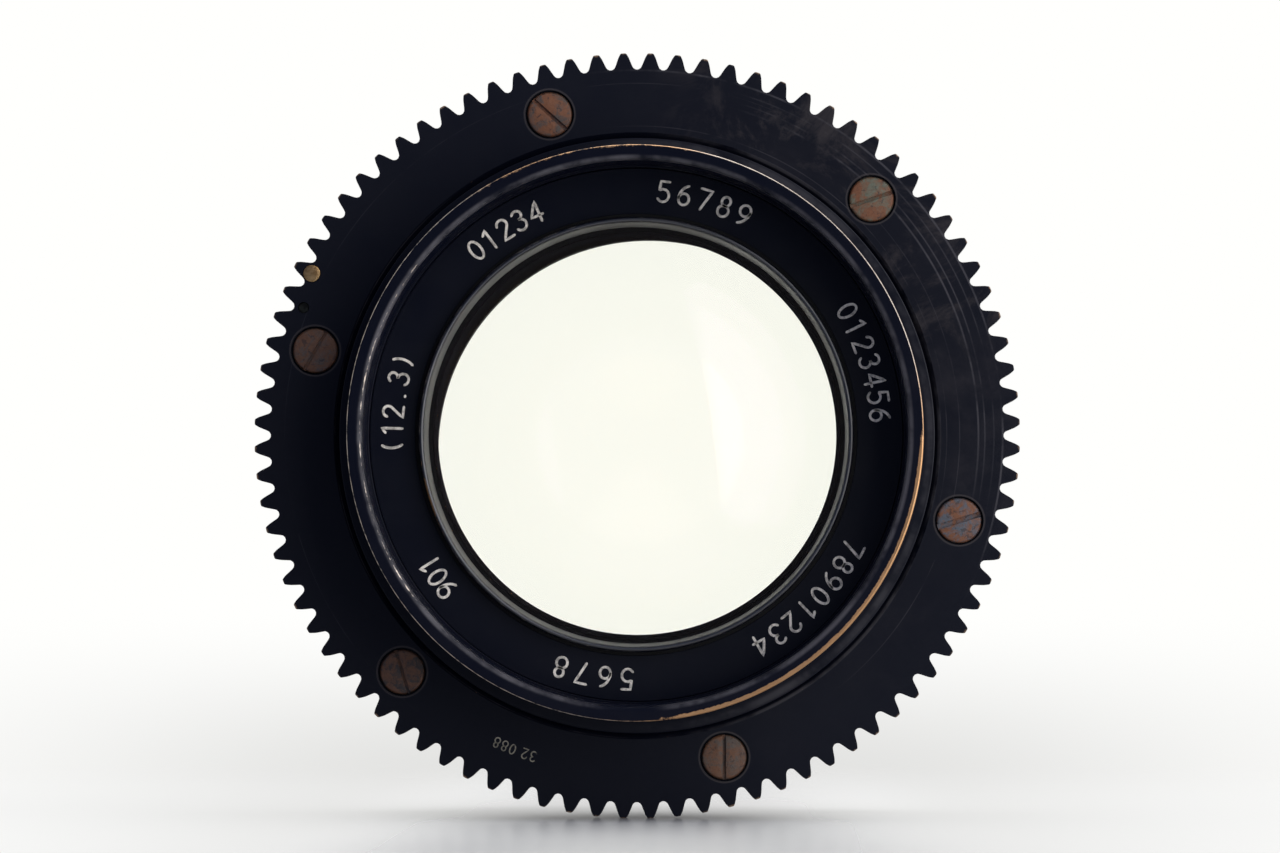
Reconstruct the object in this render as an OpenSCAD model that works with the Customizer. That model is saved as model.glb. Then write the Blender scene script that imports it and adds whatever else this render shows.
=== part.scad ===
// Geared cine lens, 75 mm focal length, f/2, in a focusing mount.
// The optical axis lies along Y and the front faces -Y. The origin is the
// centre of the rear seat of the camera flange. Every piece is drawn in lens
// coordinates, where +Z points out of the front, and on_axis() lays it down.

/* [Camera mount] */
// Radius of the round flange that seats on the camera
flange_r = 33.0; // [31.5:0.1:34.5]
// Thickness of the flange
flange_t = 4.0; // [3.5:0.1:5]
// Radius of the spigot that enters the camera
spigot_r = 22.0; // [21:0.1:23]
// Length of the spigot behind the seat
spigot_l = 9.0; // [6:0.5:11]
// Radius of the circle through the four camera screws
mount_hole_ring_r = 29.0; // [28.8:0.1:30]
// Radius of each tapped hole for a camera screw
mount_hole_r = 1.25; // [1:0.05:1.6]

/* [Focus gear] */
// Number of teeth, 32 diametral pitch
gear_teeth = 88; // [88:1:88]
// Thickness of the gear ring
gear_t = 4.0; // [3.4:0.1:4.5]
// Distance from the flange seat to the front face of the gear
gear_face_z = 38.0; // [37.5:0.1:38.2]
// Radius of the circle through the six gear screws
gear_screw_ring_r = 31.08; // [30.8:0.01:31.2]
// Radius of each slotted screw head
gear_screw_head_r = 2.1; // [1.8:0.05:2.2]

/* [Focusing] */
// Radius of the journal that the focus sleeve turns on
journal_r = 28.0; // [27.5:0.1:28.2]
// Outer radius of the focus sleeve
sleeve_r = 31.5; // [31:0.1:32]
// Radius of the helicoid on the lens barrel
helicoid_r = 25.4; // [25.2:0.1:25.5]
// Radial clearance of every running fit
running_gap = 0.05; // [0.02:0.01:0.1]
// Turn of the focus sleeve between its stops, in degrees
focus_turn = 270; // [180:5:280]

/* [Front] */
// Distance from the flange seat to the front edge of the rim
rim_z = 50.0; // [49:0.1:52]
// Outer radius of the front rim
rim_r = 26.55; // [26.5:0.05:27]
// Radius of the bore that takes a filter or a hood
filter_r = 25.1; // [25.05:0.05:25.2]
// Distance from the flange seat to the face of the name ring
name_face_z = 41.7; // [41.5:0.1:42]

/* [Iris] */
// Number of iris blades
blade_count = 9; // [9:1:9]
// Radius of the full opening
stop_r = 12.7; // [12.2:0.1:12.7]
// Radius of the circle of blade pivots
pivot_ring_r = 19.0; // [18.9:0.05:19.1]
// Radius at which the cam pins start and end their stroke
cam_ring_r = 18.6; // [18.5:0.05:18.7]
// Turn of the iris ring from f/2 to f/11, in degrees
iris_turn = 65.5; // [50:0.5:65.5]

/* [Optics] */
// Distance from the flange seat to the front vertex of the front element
front_vertex_z = 42.97; // [42.8:0.01:43.1]

/* [Hidden] */
$fn = 96;
small_fn = 32;
cut = 0.5; // how far a cutter runs past the face it opens

// gear, 32 diametral pitch
inch = 25.4;
gear_module = inch / 32;
gear_tip_r = gear_module * (gear_teeth + 2) / 2;
gear_root_r = gear_tip_r - 1.52;
gear_back_z = gear_face_z - gear_t;
gear_seat_r = 27.8;
gear_bore_chamfer = 0.5;
tooth_phase = 2.035;
gear_screw_phase = 45.2;
gear_screw_shank_r = 1.1;
gear_screw_head_t = 1.5;
gear_screw_hole_r = gear_screw_head_r + 0.25;
screw_slot_w = 0.5;
screw_slot_d = 0.6;
gear_slot_angles = [19, -42, 60, 107, 90, 17];
gear_pin_r = 0.785;
gear_pin_ring_r = 33.93;
gear_pin_angle = 153.5;
gear_grub_r = 0.5;
gear_grub_ring_r = 33.35;
gear_grub_angle = 159;

// fixed mount
bore_clear_r = 18.5;
barrel_guide_r = 24.5;
body_front_z = 24.0;
base_t = 3.0;
base_z = flange_t + base_t;
sleeve_back_z = base_z + 0.4;
groove_z = 11.0;
groove_w = 1.6;
groove_depth = 0.8;
mount_screw_ring_r = 26.0;
mount_screw_r = 1.2;
mount_screw_head_r = 2.2;
mount_screw_head_t = 1.4;
mount_screw_end_z = base_z + 4;
locating_pin_r = 1.0;
locating_pin_out = 1.6;
key_w = 3.0;
key_back_z = 12.0;
key_front_z = 20.0;
key_inner_r = 23.8;
key_outer_r = 27.7;
key_angle = 210;
stop_ring_r = 29.8;
stop_pin_r = 0.7;
stop_slot_w = 1.8;
stop_slot_d = 1.8;
stop_pin_angle = 100;

// focus sleeve
sleeve_flange_r = 33.6;
sleeve_flange_t = 3.0;
sleeve_step_z = 24.6;
grip_back_z = 19.0;
grip_front_z = 29.0;
grip_flutes = 60;
grip_depth = 0.7;

// barrel
barrel_back_z = 4.4;
barrel_front_z = 40.2;
barrel_inner_r = 23.0;
iris_seat_z = 9.2;
rear_bore_r = 17.5;
drive_pin_z = 39.1;
drive_pin_r = 0.5;
drive_pin_angle = 20;
drive_slot_w = 1.2;

// front group
rim_flange_t = 0.6;
filter_back_z = 43.4;
rim_head_z = 47.1;
rim_journal_r = 25.75;
iris_ring_back_z = 38.3;
iris_ring_front_z = 47.0;
iris_knurl_count = 90;
iris_knurl_depth = 0.22;
cell_flange_z = barrel_front_z + rim_flange_t;
cell_flange_t = 0.4;
name_inner_r = 20.5;
name_outer_r = 24.75;
cell_r = 21.6;
cell_back_z = 14.8;
retainer_r = 20.2;
retainer_face_z = 43.2;
retainer_back_z = 38.8;
retainer_mouth_r = 19.75;
retainer_throat_r = 19.4;

// iris
blade_inner_r = stop_r + 0.1;
blade_outer_r = 17.9;
blade_t = 0.05;
blade_low_z = 10.3;
blade_rise = 2.4;
blade_flat = 6; // degrees at each end that stay level
blade_steps = 26;
blade_pin_r = 0.3;
blade_ear_r = 0.65;
iris_plate_t = 1.0;
iris_wall_r = 20.2;
iris_housing_r = 21.8;
cam_back_z = 12.9;
cam_t = 0.9;
cam_outer_r = 21.0;
drive_tube_outer_r = 22.95;
drive_tube_inner_r = 21.95;
drive_tube_front_z = 40.0;
drive_flange_t = 0.8;
half_turn = iris_turn / 2;
cam_start = 180 - half_turn;
blade_turn = 2 * atan(cam_ring_r * sin(half_turn) / (pivot_ring_r + cam_ring_r * cos(half_turn)));
cam_arm = sqrt(pow(pivot_ring_r + cam_ring_r * cos(half_turn), 2) + pow(cam_ring_r * sin(half_turn), 2));

// optics: vertices counted back from the front one
v1 = front_vertex_z;
v2 = v1 - 6.60;
v3 = v1 - 6.97;
v4 = v1 - 16.39;
v5 = v1 - 19.26;
v7 = v1 - 41.96;
v8 = v1 - 44.82;
v9 = v1 - 53.12;
v10 = v1 - 53.49;
v11 = v1 - 58.77;
front_element_r = 19.8;
crown_r = 18.3;
flint_r = 16.8;
rear_glass_r = 15.4;
glass_gap = 0.05;
rear_cell_r = 17.4;
rear_tail_r = 17.0;
rear_end_z = -17.2;

// a point at radius r and angle a
function polar(r, a) = [r * cos(a), r * sin(a)];
// where a cam pin stands when the iris ring has turned by t
function cam_pin(t) =
    let (b = 180 - blade_turn / 2 + blade_turn * t / iris_turn)
    [pivot_ring_r + cam_arm * cos(b), cam_arm * sin(b)];
// how far round the turning cam ring that point strays from where it starts
function cam_stray(t) =
    let (p = cam_pin(t), a = atan2(p[1], p[0]))
    (a < 0 ? a + 360 : a) - t - cam_start;
cam_sway = max([for (i = [0:16]) abs(cam_stray(iris_turn * i / 16))]);

// lay the lens down, front towards -Y
module on_axis() {
    rotate([90, 0, 0]) children();
}

// ring or tube between two radii, from z0 forward to z1
module tube(outer, inner, z0, z1) {
    translate([0, 0, z0])
    difference() {
        cylinder(r = outer, h = z1 - z0);
        translate([0, 0, -cut]) cylinder(r = inner, h = z1 - z0 + 2 * cut);
    }
}

// straight round hole or rod along the optical axis
module rod(r, z0, z1) {
    translate([0, 0, z0]) cylinder(r = r, h = z1 - z0);
}

// place children at a radius and angle on the axis's circle
module around(r, a) {
    rotate([0, 0, a]) translate([r, 0, 0]) children();
}

// round bar pointing outwards, from radius r0 to r1
module spoke(r, r0, r1, z, a) {
    rotate([0, 0, a]) translate([r0, 0, z]) rotate([0, 90, 0]) cylinder(r = r, h = r1 - r0, $fn = small_fn);
}

// arc slot centred on radius r, from angle a0 through sweep
module arc_slot(r, w, z0, z1, a0, sweep) {
    rotate([0, 0, a0])
    translate([0, 0, z0])
    rotate_extrude(angle = sweep)
    translate([r - w / 2, 0]) square([w, z1 - z0]);
    for (a = [a0, a0 + sweep]) {
        around(r, a) rod(w / 2, z0, z1, $fn = small_fn);
    }
}

// window through a tube's wall, w wide along the axis, from angle a0 through sweep
module arc_window(inner, outer, z, w, a0, sweep) {
    rotate([0, 0, a0])
    translate([0, 0, z - w / 2])
    rotate_extrude(angle = sweep)
    translate([inner, 0]) square([outer - inner, w]);
}

// slotted screw with a cylindrical head; its head's face is at z
module slotted_screw(head_r, head_t, shank_r, z, tail_z, slot_angle) {
    difference() {
        union() {
            rod(head_r, z - head_t, z, $fn = small_fn);
            rod(shank_r, tail_z, z, $fn = small_fn);
        }
        translate([0, 0, z])
        rotate([0, 0, slot_angle])
        cube([3 * head_r, screw_slot_w, 2 * screw_slot_d], center = true);
    }
}

// sphere of a glass surface, finer where it is larger
module ball(radius) {
    sphere(r = radius, $fn = max(96, 4 * round(radius)));
}

// what lies behind a front surface; radius > 0 bulges forward, 0 is flat
module behind(vertex, radius, r) {
    if (radius > 0) {
        translate([0, 0, vertex - radius]) ball(radius);
    } else {
        translate([0, 0, vertex - 30]) cylinder(r = r + 1, h = 30);
    }
}

// what lies in front of a rear surface; radius > 0 bulges back, 0 is flat
module ahead(vertex, radius, r) {
    if (radius > 0) {
        translate([0, 0, vertex + radius]) ball(radius);
    } else {
        translate([0, 0, vertex]) cylinder(r = r + 1, h = 30);
    }
}

// round glass blank from z0 to z1 between a front and a rear surface
module glass(r, z0, z1, front_vertex, front_radius, rear_vertex, rear_radius) {
    color([0.92, 0.96, 0.90, 0.45])
    intersection() {
        rod(r, z0, z1);
        behind(front_vertex, front_radius, r);
        ahead(rear_vertex, rear_radius, r);
    }
}

// the flange and the spigot that enter the camera
module mount_flange() {
    color([0.16, 0.16, 0.17])
    on_axis()
    difference() {
        union() {
            rod(flange_r, 0, flange_t);
            rod(spigot_r, -spigot_l, cut);
        }
        rod(bore_clear_r, -spigot_l - cut, flange_t + cut);
        for (k = [0:3]) {
            around(mount_hole_ring_r, 90 * k) rod(mount_hole_r, -cut, flange_t + cut, $fn = small_fn);
            around(mount_screw_ring_r, 90 * k + 45) {
                rod(mount_screw_r, -cut, flange_t + cut, $fn = small_fn);
                rod(mount_screw_head_r + 0.1, -cut, mount_screw_head_t + 0.1, $fn = small_fn);
            }
        }
        around(mount_screw_ring_r, 90) rod(locating_pin_r, -cut, flange_t + cut, $fn = small_fn);
    }
}

// fixed tube: outside is the focus journal, inside guides the barrel
module mount_body() {
    color([0.10, 0.10, 0.11])
    on_axis()
    difference() {
        union() {
            rod(sleeve_r, flange_t, base_z);
            rod(journal_r, flange_t, body_front_z);
        }
        rod(barrel_guide_r + running_gap, flange_t - cut, body_front_z + cut);
        tube(journal_r + 1, journal_r - groove_depth, groove_z - groove_w / 2, groove_z + groove_w / 2);
        for (k = [0:3]) {
            around(mount_screw_ring_r, 90 * k + 45)
            rod(mount_screw_r, flange_t - cut, mount_screw_end_z, $fn = small_fn);
        }
        around(stop_ring_r, stop_pin_angle) rod(stop_pin_r, base_z - 2, base_z + cut, $fn = small_fn);
        spoke(0.6, sleeve_r - 1.5, sleeve_r + 1, flange_t + 1.5, 90);
        rotate([0, 0, key_angle])
        translate([key_inner_r - 1, -key_w / 2, key_back_z])
        cube([journal_r - key_inner_r + 2, key_w, key_front_z - key_back_z]);
    }
}

// four screws that hold the flange to the body, put in from behind
module mount_screws() {
    color([0.45, 0.36, 0.26])
    on_axis()
    for (k = [0:3]) {
        around(mount_screw_ring_r, 90 * k + 45)
        rotate([180, 0, 0])
        slotted_screw(mount_screw_head_r, mount_screw_head_t, mount_screw_r, -0.1, -mount_screw_end_z + 0.2, 30 * k);
    }
}

// pin that sets the lens upright in the camera
module locating_pin() {
    color([0.78, 0.62, 0.32])
    on_axis()
    around(mount_screw_ring_r, 90) rod(locating_pin_r, -locating_pin_out, flange_t, $fn = small_fn);
}

// key that keeps the barrel from turning
module guide_key() {
    color([0.62, 0.52, 0.32])
    on_axis()
    rotate([0, 0, key_angle])
    translate([key_inner_r, -key_w / 2, key_back_z])
    cube([key_outer_r - key_inner_r, key_w, key_front_z - key_back_z]);
}

// brass index that the distance scale is read against
module focus_index() {
    color([0.80, 0.64, 0.34])
    on_axis() spoke(0.6, sleeve_r - 1.5, sleeve_r + 0.1, flange_t + 1.5, 90);
}

// pin that ends the turn of the focus sleeve
module focus_stop_pin() {
    color([0.55, 0.52, 0.48])
    on_axis()
    around(stop_ring_r, stop_pin_angle) rod(stop_pin_r, base_z - 2, base_z + 1.8, $fn = small_fn);
}

// scalloped outline for a grip
module fluted_outline(r, depth, count) {
    step = 360 / count;
    polygon([
        for (k = [0:count - 1], p = [[0, 0], [0.55, 0], [0.7, 1], [0.85, 1]])
            polar(r - depth * p[1], step * (k + p[0]))
    ]);
}

// turning sleeve: scale band, grip, gear seat and helicoid nut
module focus_sleeve() {
    color([0.07, 0.07, 0.08])
    on_axis()
    difference() {
        union() {
            rod(sleeve_r - grip_depth, sleeve_back_z, gear_back_z);
            rod(sleeve_r, sleeve_back_z, grip_back_z);
            translate([0, 0, grip_back_z + 1])
            linear_extrude(height = grip_front_z - grip_back_z - 1)
            fluted_outline(sleeve_r + 0.4, grip_depth, grip_flutes);
            rod(sleeve_flange_r, gear_back_z - sleeve_flange_t, gear_back_z);
            rod(gear_seat_r, gear_back_z - cut, gear_face_z);
        }
        rod(journal_r + running_gap, sleeve_back_z - cut, sleeve_step_z);
        rod(helicoid_r + running_gap, sleeve_back_z, gear_face_z + cut);
        arc_slot(stop_ring_r, stop_slot_w, sleeve_back_z - cut, sleeve_back_z + stop_slot_d,
            stop_pin_angle - focus_turn, focus_turn);
        for (k = [0:5]) {
            around(gear_screw_ring_r, gear_screw_phase + 60 * k)
            rod(gear_screw_shank_r, gear_back_z - 2.6, gear_back_z + cut, $fn = small_fn);
        }
        for (k = [0:2]) {
            spoke(0.75, journal_r - 1, sleeve_r + 1, groove_z, 120 * k + 30);
        }
    }
}

// three grub screws that run in the journal's groove
module sleeve_guide_screws() {
    color([0.30, 0.28, 0.26])
    on_axis()
    for (k = [0:2]) {
        difference() {
            spoke(0.75, journal_r - groove_depth + 0.15, sleeve_r - 0.2, groove_z, 120 * k + 30);
            rotate([0, 0, 120 * k + 30])
            translate([sleeve_r, 0, groove_z])
            cube([1.4, 2, 0.3], center = true);
        }
    }
}

// outline of the gear: land, flanks and a rounded root for every tooth
module gear_outline() {
    step = 360 / gear_teeth;
    depth = gear_tip_r - gear_root_r;
    flank = [[-0.45, 0], [-0.36, 0.09], [-0.31, 0.24], [-0.25, 0.49], [-0.19, 0.74], [-0.08, 1]];
    half = [for (p = flank) p];
    other = [for (k = [len(flank) - 1:-1:0]) [-flank[k][0], flank[k][1]]];
    polygon([
        for (k = [0:gear_teeth - 1], p = concat(half, other))
            polar(gear_root_r + depth * p[1], tooth_phase + step * (k + p[0]))
    ]);
}

// 88-tooth ring that the follow-focus drive turns
module focus_gear() {
    color([0.05, 0.05, 0.07])
    on_axis()
    difference() {
        translate([0, 0, gear_back_z]) linear_extrude(height = gear_t) gear_outline();
        rod(gear_seat_r, gear_back_z - cut, gear_face_z + cut);
        translate([0, 0, gear_face_z - gear_bore_chamfer])
        cylinder(r1 = gear_seat_r, r2 = gear_seat_r + 2 * gear_bore_chamfer, h = 2 * gear_bore_chamfer);
        for (k = [0:5]) {
            around(gear_screw_ring_r, gear_screw_phase + 60 * k) {
                rod(gear_screw_shank_r, gear_back_z - cut, gear_face_z + cut, $fn = small_fn);
                rod(gear_screw_hole_r, gear_face_z - gear_screw_head_t - 0.1, gear_face_z + cut, $fn = small_fn);
            }
        }
        around(gear_pin_ring_r, gear_pin_angle) rod(gear_pin_r, gear_back_z - cut, gear_face_z + cut, $fn = small_fn);
        around(gear_grub_ring_r, gear_grub_angle) rod(gear_grub_r, gear_back_z - cut, gear_face_z + cut, $fn = small_fn);
    }
}

// six slotted screws that hold the gear to the sleeve
module gear_screws() {
    color([0.45, 0.33, 0.25])
    on_axis()
    for (k = [0:5]) {
        around(gear_screw_ring_r, gear_screw_phase + 60 * k)
        slotted_screw(gear_screw_head_r, gear_screw_head_t, gear_screw_shank_r, gear_face_z - 0.1,
            gear_back_z - 2.4, gear_slot_angles[k] - gear_screw_phase - 60 * k);
    }
}

// brass pin pressed through the gear between two teeth
module gear_pin() {
    color([0.82, 0.66, 0.36])
    on_axis()
    around(gear_pin_ring_r, gear_pin_angle) rod(gear_pin_r, gear_back_z, gear_face_z + 0.1, $fn = small_fn);
}

// headless screw beside the pin
module gear_set_screw() {
    color([0.20, 0.20, 0.19])
    on_axis()
    around(gear_grub_ring_r, gear_grub_angle) rod(gear_grub_r, gear_back_z, gear_face_z - 0.25, $fn = small_fn);
}

// sliding tube that carries all the glass
module barrel_tube() {
    color([0.12, 0.12, 0.13])
    on_axis()
    difference() {
        union() {
            rod(barrel_guide_r, barrel_back_z, barrel_front_z);
            rod(helicoid_r, sleeve_step_z + 0.3, barrel_front_z);
        }
        rod(barrel_inner_r, iris_seat_z, barrel_front_z + cut);
        rod(rear_bore_r, barrel_back_z - cut, iris_seat_z + cut);
        rotate([0, 0, key_angle])
        translate([key_inner_r - 0.2, -key_w / 2 - running_gap, barrel_back_z - cut])
        cube([3, key_w + 2 * running_gap, key_front_z - barrel_back_z + cut + 0.3]);
        arc_window(barrel_inner_r - 0.6, helicoid_r + 0.6, drive_pin_z, drive_slot_w,
            drive_pin_angle - 4, iris_turn + 8);
        for (k = [0:2]) {
            around(22.2, 120 * k + 15) rod(0.45, iris_seat_z - 2, iris_seat_z + cut, $fn = small_fn);
        }
    }
}

// front rim: flange clamped on the barrel, journal, head and filter bore
module front_rim() {
    color([0.14, 0.14, 0.15])
    on_axis()
    difference() {
        union() {
            rod(rim_journal_r, barrel_front_z, rim_z - cut);
            rod(rim_r, rim_head_z, rim_z);
        }
        rod(filter_r, filter_back_z, rim_z + cut);
        rod(name_outer_r + glass_gap, cell_flange_z, rim_z);
        rod(barrel_inner_r, barrel_front_z - cut, rim_z);
        translate([0, 0, rim_z - 0.4]) cylinder(r1 = filter_r, r2 = filter_r + 2 * 0.8, h = 0.8);
        spoke(0.35, rim_r - 0.6, rim_r + 1, rim_head_z + 1.4, 90);
    }
}

// engraved ring around the front element
module name_ring() {
    color([0.06, 0.06, 0.08])
    on_axis() tube(name_outer_r, name_inner_r, cell_flange_z + cell_flange_t, name_face_z);
}

// cell that holds the front element and the front doublet
module front_cell() {
    color([0.09, 0.09, 0.10])
    on_axis()
    difference() {
        union() {
            rod(cell_r, cell_back_z, cell_flange_z + cell_flange_t);
            rod(name_outer_r, cell_flange_z, cell_flange_z + cell_flange_t);
            rod(name_inner_r, cell_flange_z, name_face_z + 0.3);
        }
        rod(retainer_r, retainer_back_z - 0.9, name_face_z + 2);
        rod(front_element_r + glass_gap, v2 - 1.8, name_face_z + 2);
        rod(crown_r + glass_gap, v4, name_face_z);
        rod(flint_r + glass_gap, cell_back_z - cut, v4 + cut);
    }
}

// threaded ring that holds the front element, with a conical mouth
module front_retainer() {
    color([0.13, 0.13, 0.15])
    on_axis()
    difference() {
        rod(retainer_r, retainer_back_z, retainer_face_z);
        translate([0, 0, retainer_back_z])
        cylinder(r1 = retainer_throat_r, r2 = retainer_mouth_r, h = retainer_face_z - retainer_back_z);
        rod(retainer_throat_r, retainer_back_z - cut, retainer_back_z + cut);
        rod(retainer_mouth_r, retainer_face_z - 0.01, retainer_face_z + cut);
    }
}

// front element, meniscus, hollow behind
module front_element() {
    on_axis()
    difference() {
        glass(front_element_r, v2 - 1.75, v1 + 1, v1, 42.37, v2 - 1.75, 0);
        translate([0, 0, v2 - 114.8]) ball(114.8);
    }
}

// ring that spaces the front element from the doublet
module front_spacer() {
    color([0.08, 0.08, 0.08])
    on_axis() tube(crown_r, crown_r - 0.4, v3 - 5.95, v2 - 1.6);
}

// crown of the front doublet
module front_doublet_crown() {
    on_axis() glass(crown_r, v4, v3 + 1, v3, 28.41, v4, 0);
}

// flint of the front doublet, hollow behind, with a flat rim
module front_doublet_flint() {
    on_axis()
    difference() {
        glass(flint_r, v5 - 5.9, v4, v4, 0, v5 - 5.9, 0);
        translate([0, 0, v5 - 18.27]) ball(18.27);
    }
}

// ring that holds the front doublet from behind
module doublet_retainer() {
    color([0.08, 0.08, 0.08])
    on_axis() tube(flint_r, 13.8, cell_back_z + 0.4, v5 - 5.95);
}

// plate and wall that the blades lie in
module iris_housing() {
    color([0.20, 0.18, 0.15])
    on_axis()
    difference() {
        union() {
            tube(barrel_inner_r - glass_gap, stop_r, iris_seat_z, iris_seat_z + iris_plate_t);
            tube(iris_housing_r, iris_wall_r, iris_seat_z, cam_back_z - 0.1);
        }
        for (k = [0:blade_count - 1]) {
            around(pivot_ring_r, 360 / blade_count * k)
            rod(blade_pin_r + running_gap, iris_seat_z - cut, iris_seat_z + iris_plate_t + cut, $fn = small_fn);
        }
        for (k = [0:2]) {
            around(22.2, 120 * k + 15) rod(0.45, iris_seat_z - cut, iris_seat_z + 5, $fn = small_fn);
            around(22.2, 120 * k + 15) rod(0.75, iris_seat_z + 0.6, iris_seat_z + 5, $fn = small_fn);
        }
    }
}

// three small screws that hold the iris housing in the barrel
module iris_housing_screws() {
    color([0.70, 0.58, 0.34])
    on_axis()
    for (k = [0:2]) {
        around(22.2, 120 * k + 15) {
            rod(0.45, iris_seat_z - 1.9, iris_seat_z + 0.7, $fn = small_fn);
            rod(0.7, iris_seat_z + 0.6, iris_seat_z + iris_plate_t, $fn = small_fn);
        }
    }
}

// cell that holds the rear doublet and the rear element
module rear_cell() {
    color([0.10, 0.10, 0.11])
    on_axis()
    difference() {
        union() {
            rod(rear_tail_r, rear_end_z, barrel_back_z);
            rod(bore_clear_r - 0.3, barrel_back_z - 1, barrel_back_z);
            rod(rear_cell_r, barrel_back_z - cut, iris_seat_z - 0.1);
        }
        rod(rear_glass_r + glass_gap, rear_end_z - cut, v7 + 4.3);
        rod(12.9, rear_end_z - cut, iris_seat_z + cut);
    }
}

// flint of the rear doublet, hollow in front, with a flat rim
module rear_doublet_flint() {
    on_axis()
    difference() {
        glass(rear_glass_r, v8, v7 + 4.25, v7 + 4.25, 0, v8, 0);
        translate([0, 0, v7 + 21.39]) ball(21.39);
    }
}

// crown of the rear doublet
module rear_doublet_crown() {
    on_axis() glass(rear_glass_r, v9 - 1, v8, v8, 0, v9, 28.59);
}

// ring that spaces the doublet from the rear element
module rear_spacer() {
    color([0.08, 0.08, 0.08])
    on_axis() tube(rear_glass_r, rear_glass_r - 0.5, v10 - 0.63, v9 + 3.3);
}

// rear element, bulging on both sides
module rear_element() {
    on_axis() glass(rear_glass_r, v11 - 1, v10, v10, 133.7, v11, 59.9);
}

// ring that holds the rear element
module rear_retainer() {
    color([0.14, 0.14, 0.15])
    on_axis() tube(rear_glass_r, rear_glass_r - 0.5, rear_end_z + 0.2, v11 + 1.35);
}

// knurled ring that sets the iris
module iris_ring() {
    color([0.08, 0.08, 0.09])
    on_axis()
    difference() {
        union() {
            rod(rim_r - 0.1, iris_ring_back_z, 41.4);
            rod(rim_r - 0.3, 41, 41.9);
            translate([0, 0, 41.8])
            linear_extrude(height = iris_ring_front_z - 41.8)
            fluted_outline(rim_r - 0.1, iris_knurl_depth, iris_knurl_count);
        }
        rod(rim_journal_r + running_gap, iris_ring_back_z - cut, iris_ring_front_z + cut);
        spoke(drive_pin_r, rim_journal_r - 1, rim_r + 1, drive_pin_z, drive_pin_angle);
    }
}

// pin from the iris ring through the barrel to the drive tube
module iris_drive_pin() {
    color([0.80, 0.64, 0.34])
    on_axis() spoke(drive_pin_r, drive_tube_inner_r + 0.1, rim_r - 0.3, drive_pin_z, drive_pin_angle);
}

// tube that carries the iris ring's turn back to the cam ring
module iris_drive_tube() {
    color([0.35, 0.32, 0.28])
    on_axis()
    difference() {
        union() {
            tube(drive_tube_outer_r, drive_tube_inner_r, cam_back_z + cam_t, drive_tube_front_z);
            tube(drive_tube_outer_r, 16.2, cam_back_z + cam_t, cam_back_z + cam_t + drive_flange_t);
        }
        spoke(drive_pin_r, drive_tube_inner_r - 1, rim_r, drive_pin_z, drive_pin_angle);
    }
}

// disc with one groove for each blade's cam pin
module iris_cam_ring() {
    color([0.30, 0.28, 0.25])
    on_axis()
    difference() {
        tube(cam_outer_r, blade_inner_r, cam_back_z, cam_back_z + cam_t);
        for (k = [0:blade_count - 1]) {
            rotate([0, 0, 360 / blade_count * k])
            translate([0, 0, cam_back_z - cut])
            linear_extrude(height = cam_t + 2 * cut)
            groove_outline();
        }
    }
}

// outline of one cam groove: radial, widened for the pin's sway
module groove_outline() {
    low_r = cam_arm - pivot_ring_r - blade_pin_r - running_gap;
    high_r = cam_ring_r + blade_pin_r + running_gap;
    spread = cam_sway + asin((blade_pin_r + running_gap) / low_r);
    polygon([
        polar(low_r, cam_start - spread),
        polar(high_r, cam_start - spread),
        polar(high_r, cam_start + spread),
        polar(low_r, cam_start + spread)
    ]);
}

// white dot on the rim that the iris scale is read against
module iris_index() {
    color([0.85, 0.84, 0.78])
    on_axis() spoke(0.35, rim_r - 0.6, rim_r - 0.03, rim_head_z + 1.4, 90);
}

// one iris blade lying open; it climbs over the next blade from its pivot, whose
// pin points back, to its cam pin, which points forward
module iris_blade(k) {
    top_z = blade_low_z + blade_rise;
    color([0.16, 0.16, 0.18])
    on_axis()
    rotate([0, 0, 360 / blade_count * k]) {
        blade_strip();
        around(pivot_ring_r, 0) rod(blade_pin_r, iris_seat_z + 0.1, blade_low_z + blade_t, $fn = small_fn);
        around(cam_ring_r, cam_start) rod(blade_pin_r, top_z, cam_back_z + cam_t - 0.1, $fn = small_fn);
    }
}

// height of a blade's underside at angle a from its pivot
function blade_z(a) =
    blade_low_z + blade_rise * min(1, max(0, (a - blade_flat) / (cam_start - 2 * blade_flat)));

// angle and outer radius at stations across the tab that a pin stands in
function blade_tab(a, r) = [
    [a - 3, blade_outer_r],
    [a - 2.2, blade_outer_r],
    [a - 1.6, r + 0.75 * blade_ear_r],
    [a - 0.7, r + blade_ear_r],
    [a + 0.7, r + blade_ear_r],
    [a + 1.6, r + 0.75 * blade_ear_r],
    [a + 2.2, blade_outer_r],
    [a + 3, blade_outer_r]
];

// the blade without its pins, a thin strip that climbs along its arc between two level ends
module blade_strip() {
    span = cam_start - 2 * blade_flat;
    climb = [for (i = [0:blade_steps]) [blade_flat + span * i / blade_steps, blade_outer_r]];
    stations = concat(blade_tab(0, pivot_ring_r), climb, blade_tab(cam_start, cam_ring_r));
    points = [
        for (s = stations, c = [[0, 0], [1, 0], [1, blade_t], [0, blade_t]])
            let (r = c[0] == 0 ? blade_inner_r : s[1])
            [r * cos(s[0]), r * sin(s[0]), blade_z(s[0]) + c[1]]
    ];
    last = 4 * (len(stations) - 1);
    sides = [
        for (i = [0:len(stations) - 2], j = [0:3])
            let (a = 4 * i + j, b = 4 * i + (j + 1) % 4)
            each [[a, b, b + 4], [a, b + 4, a + 4]]
    ];
    ends = [[2, 1, 0], [3, 2, 0], [last, last + 1, last + 2], [last, last + 2, last + 3]];
    polyhedron(points = points, faces = concat(sides, ends));
}

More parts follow.
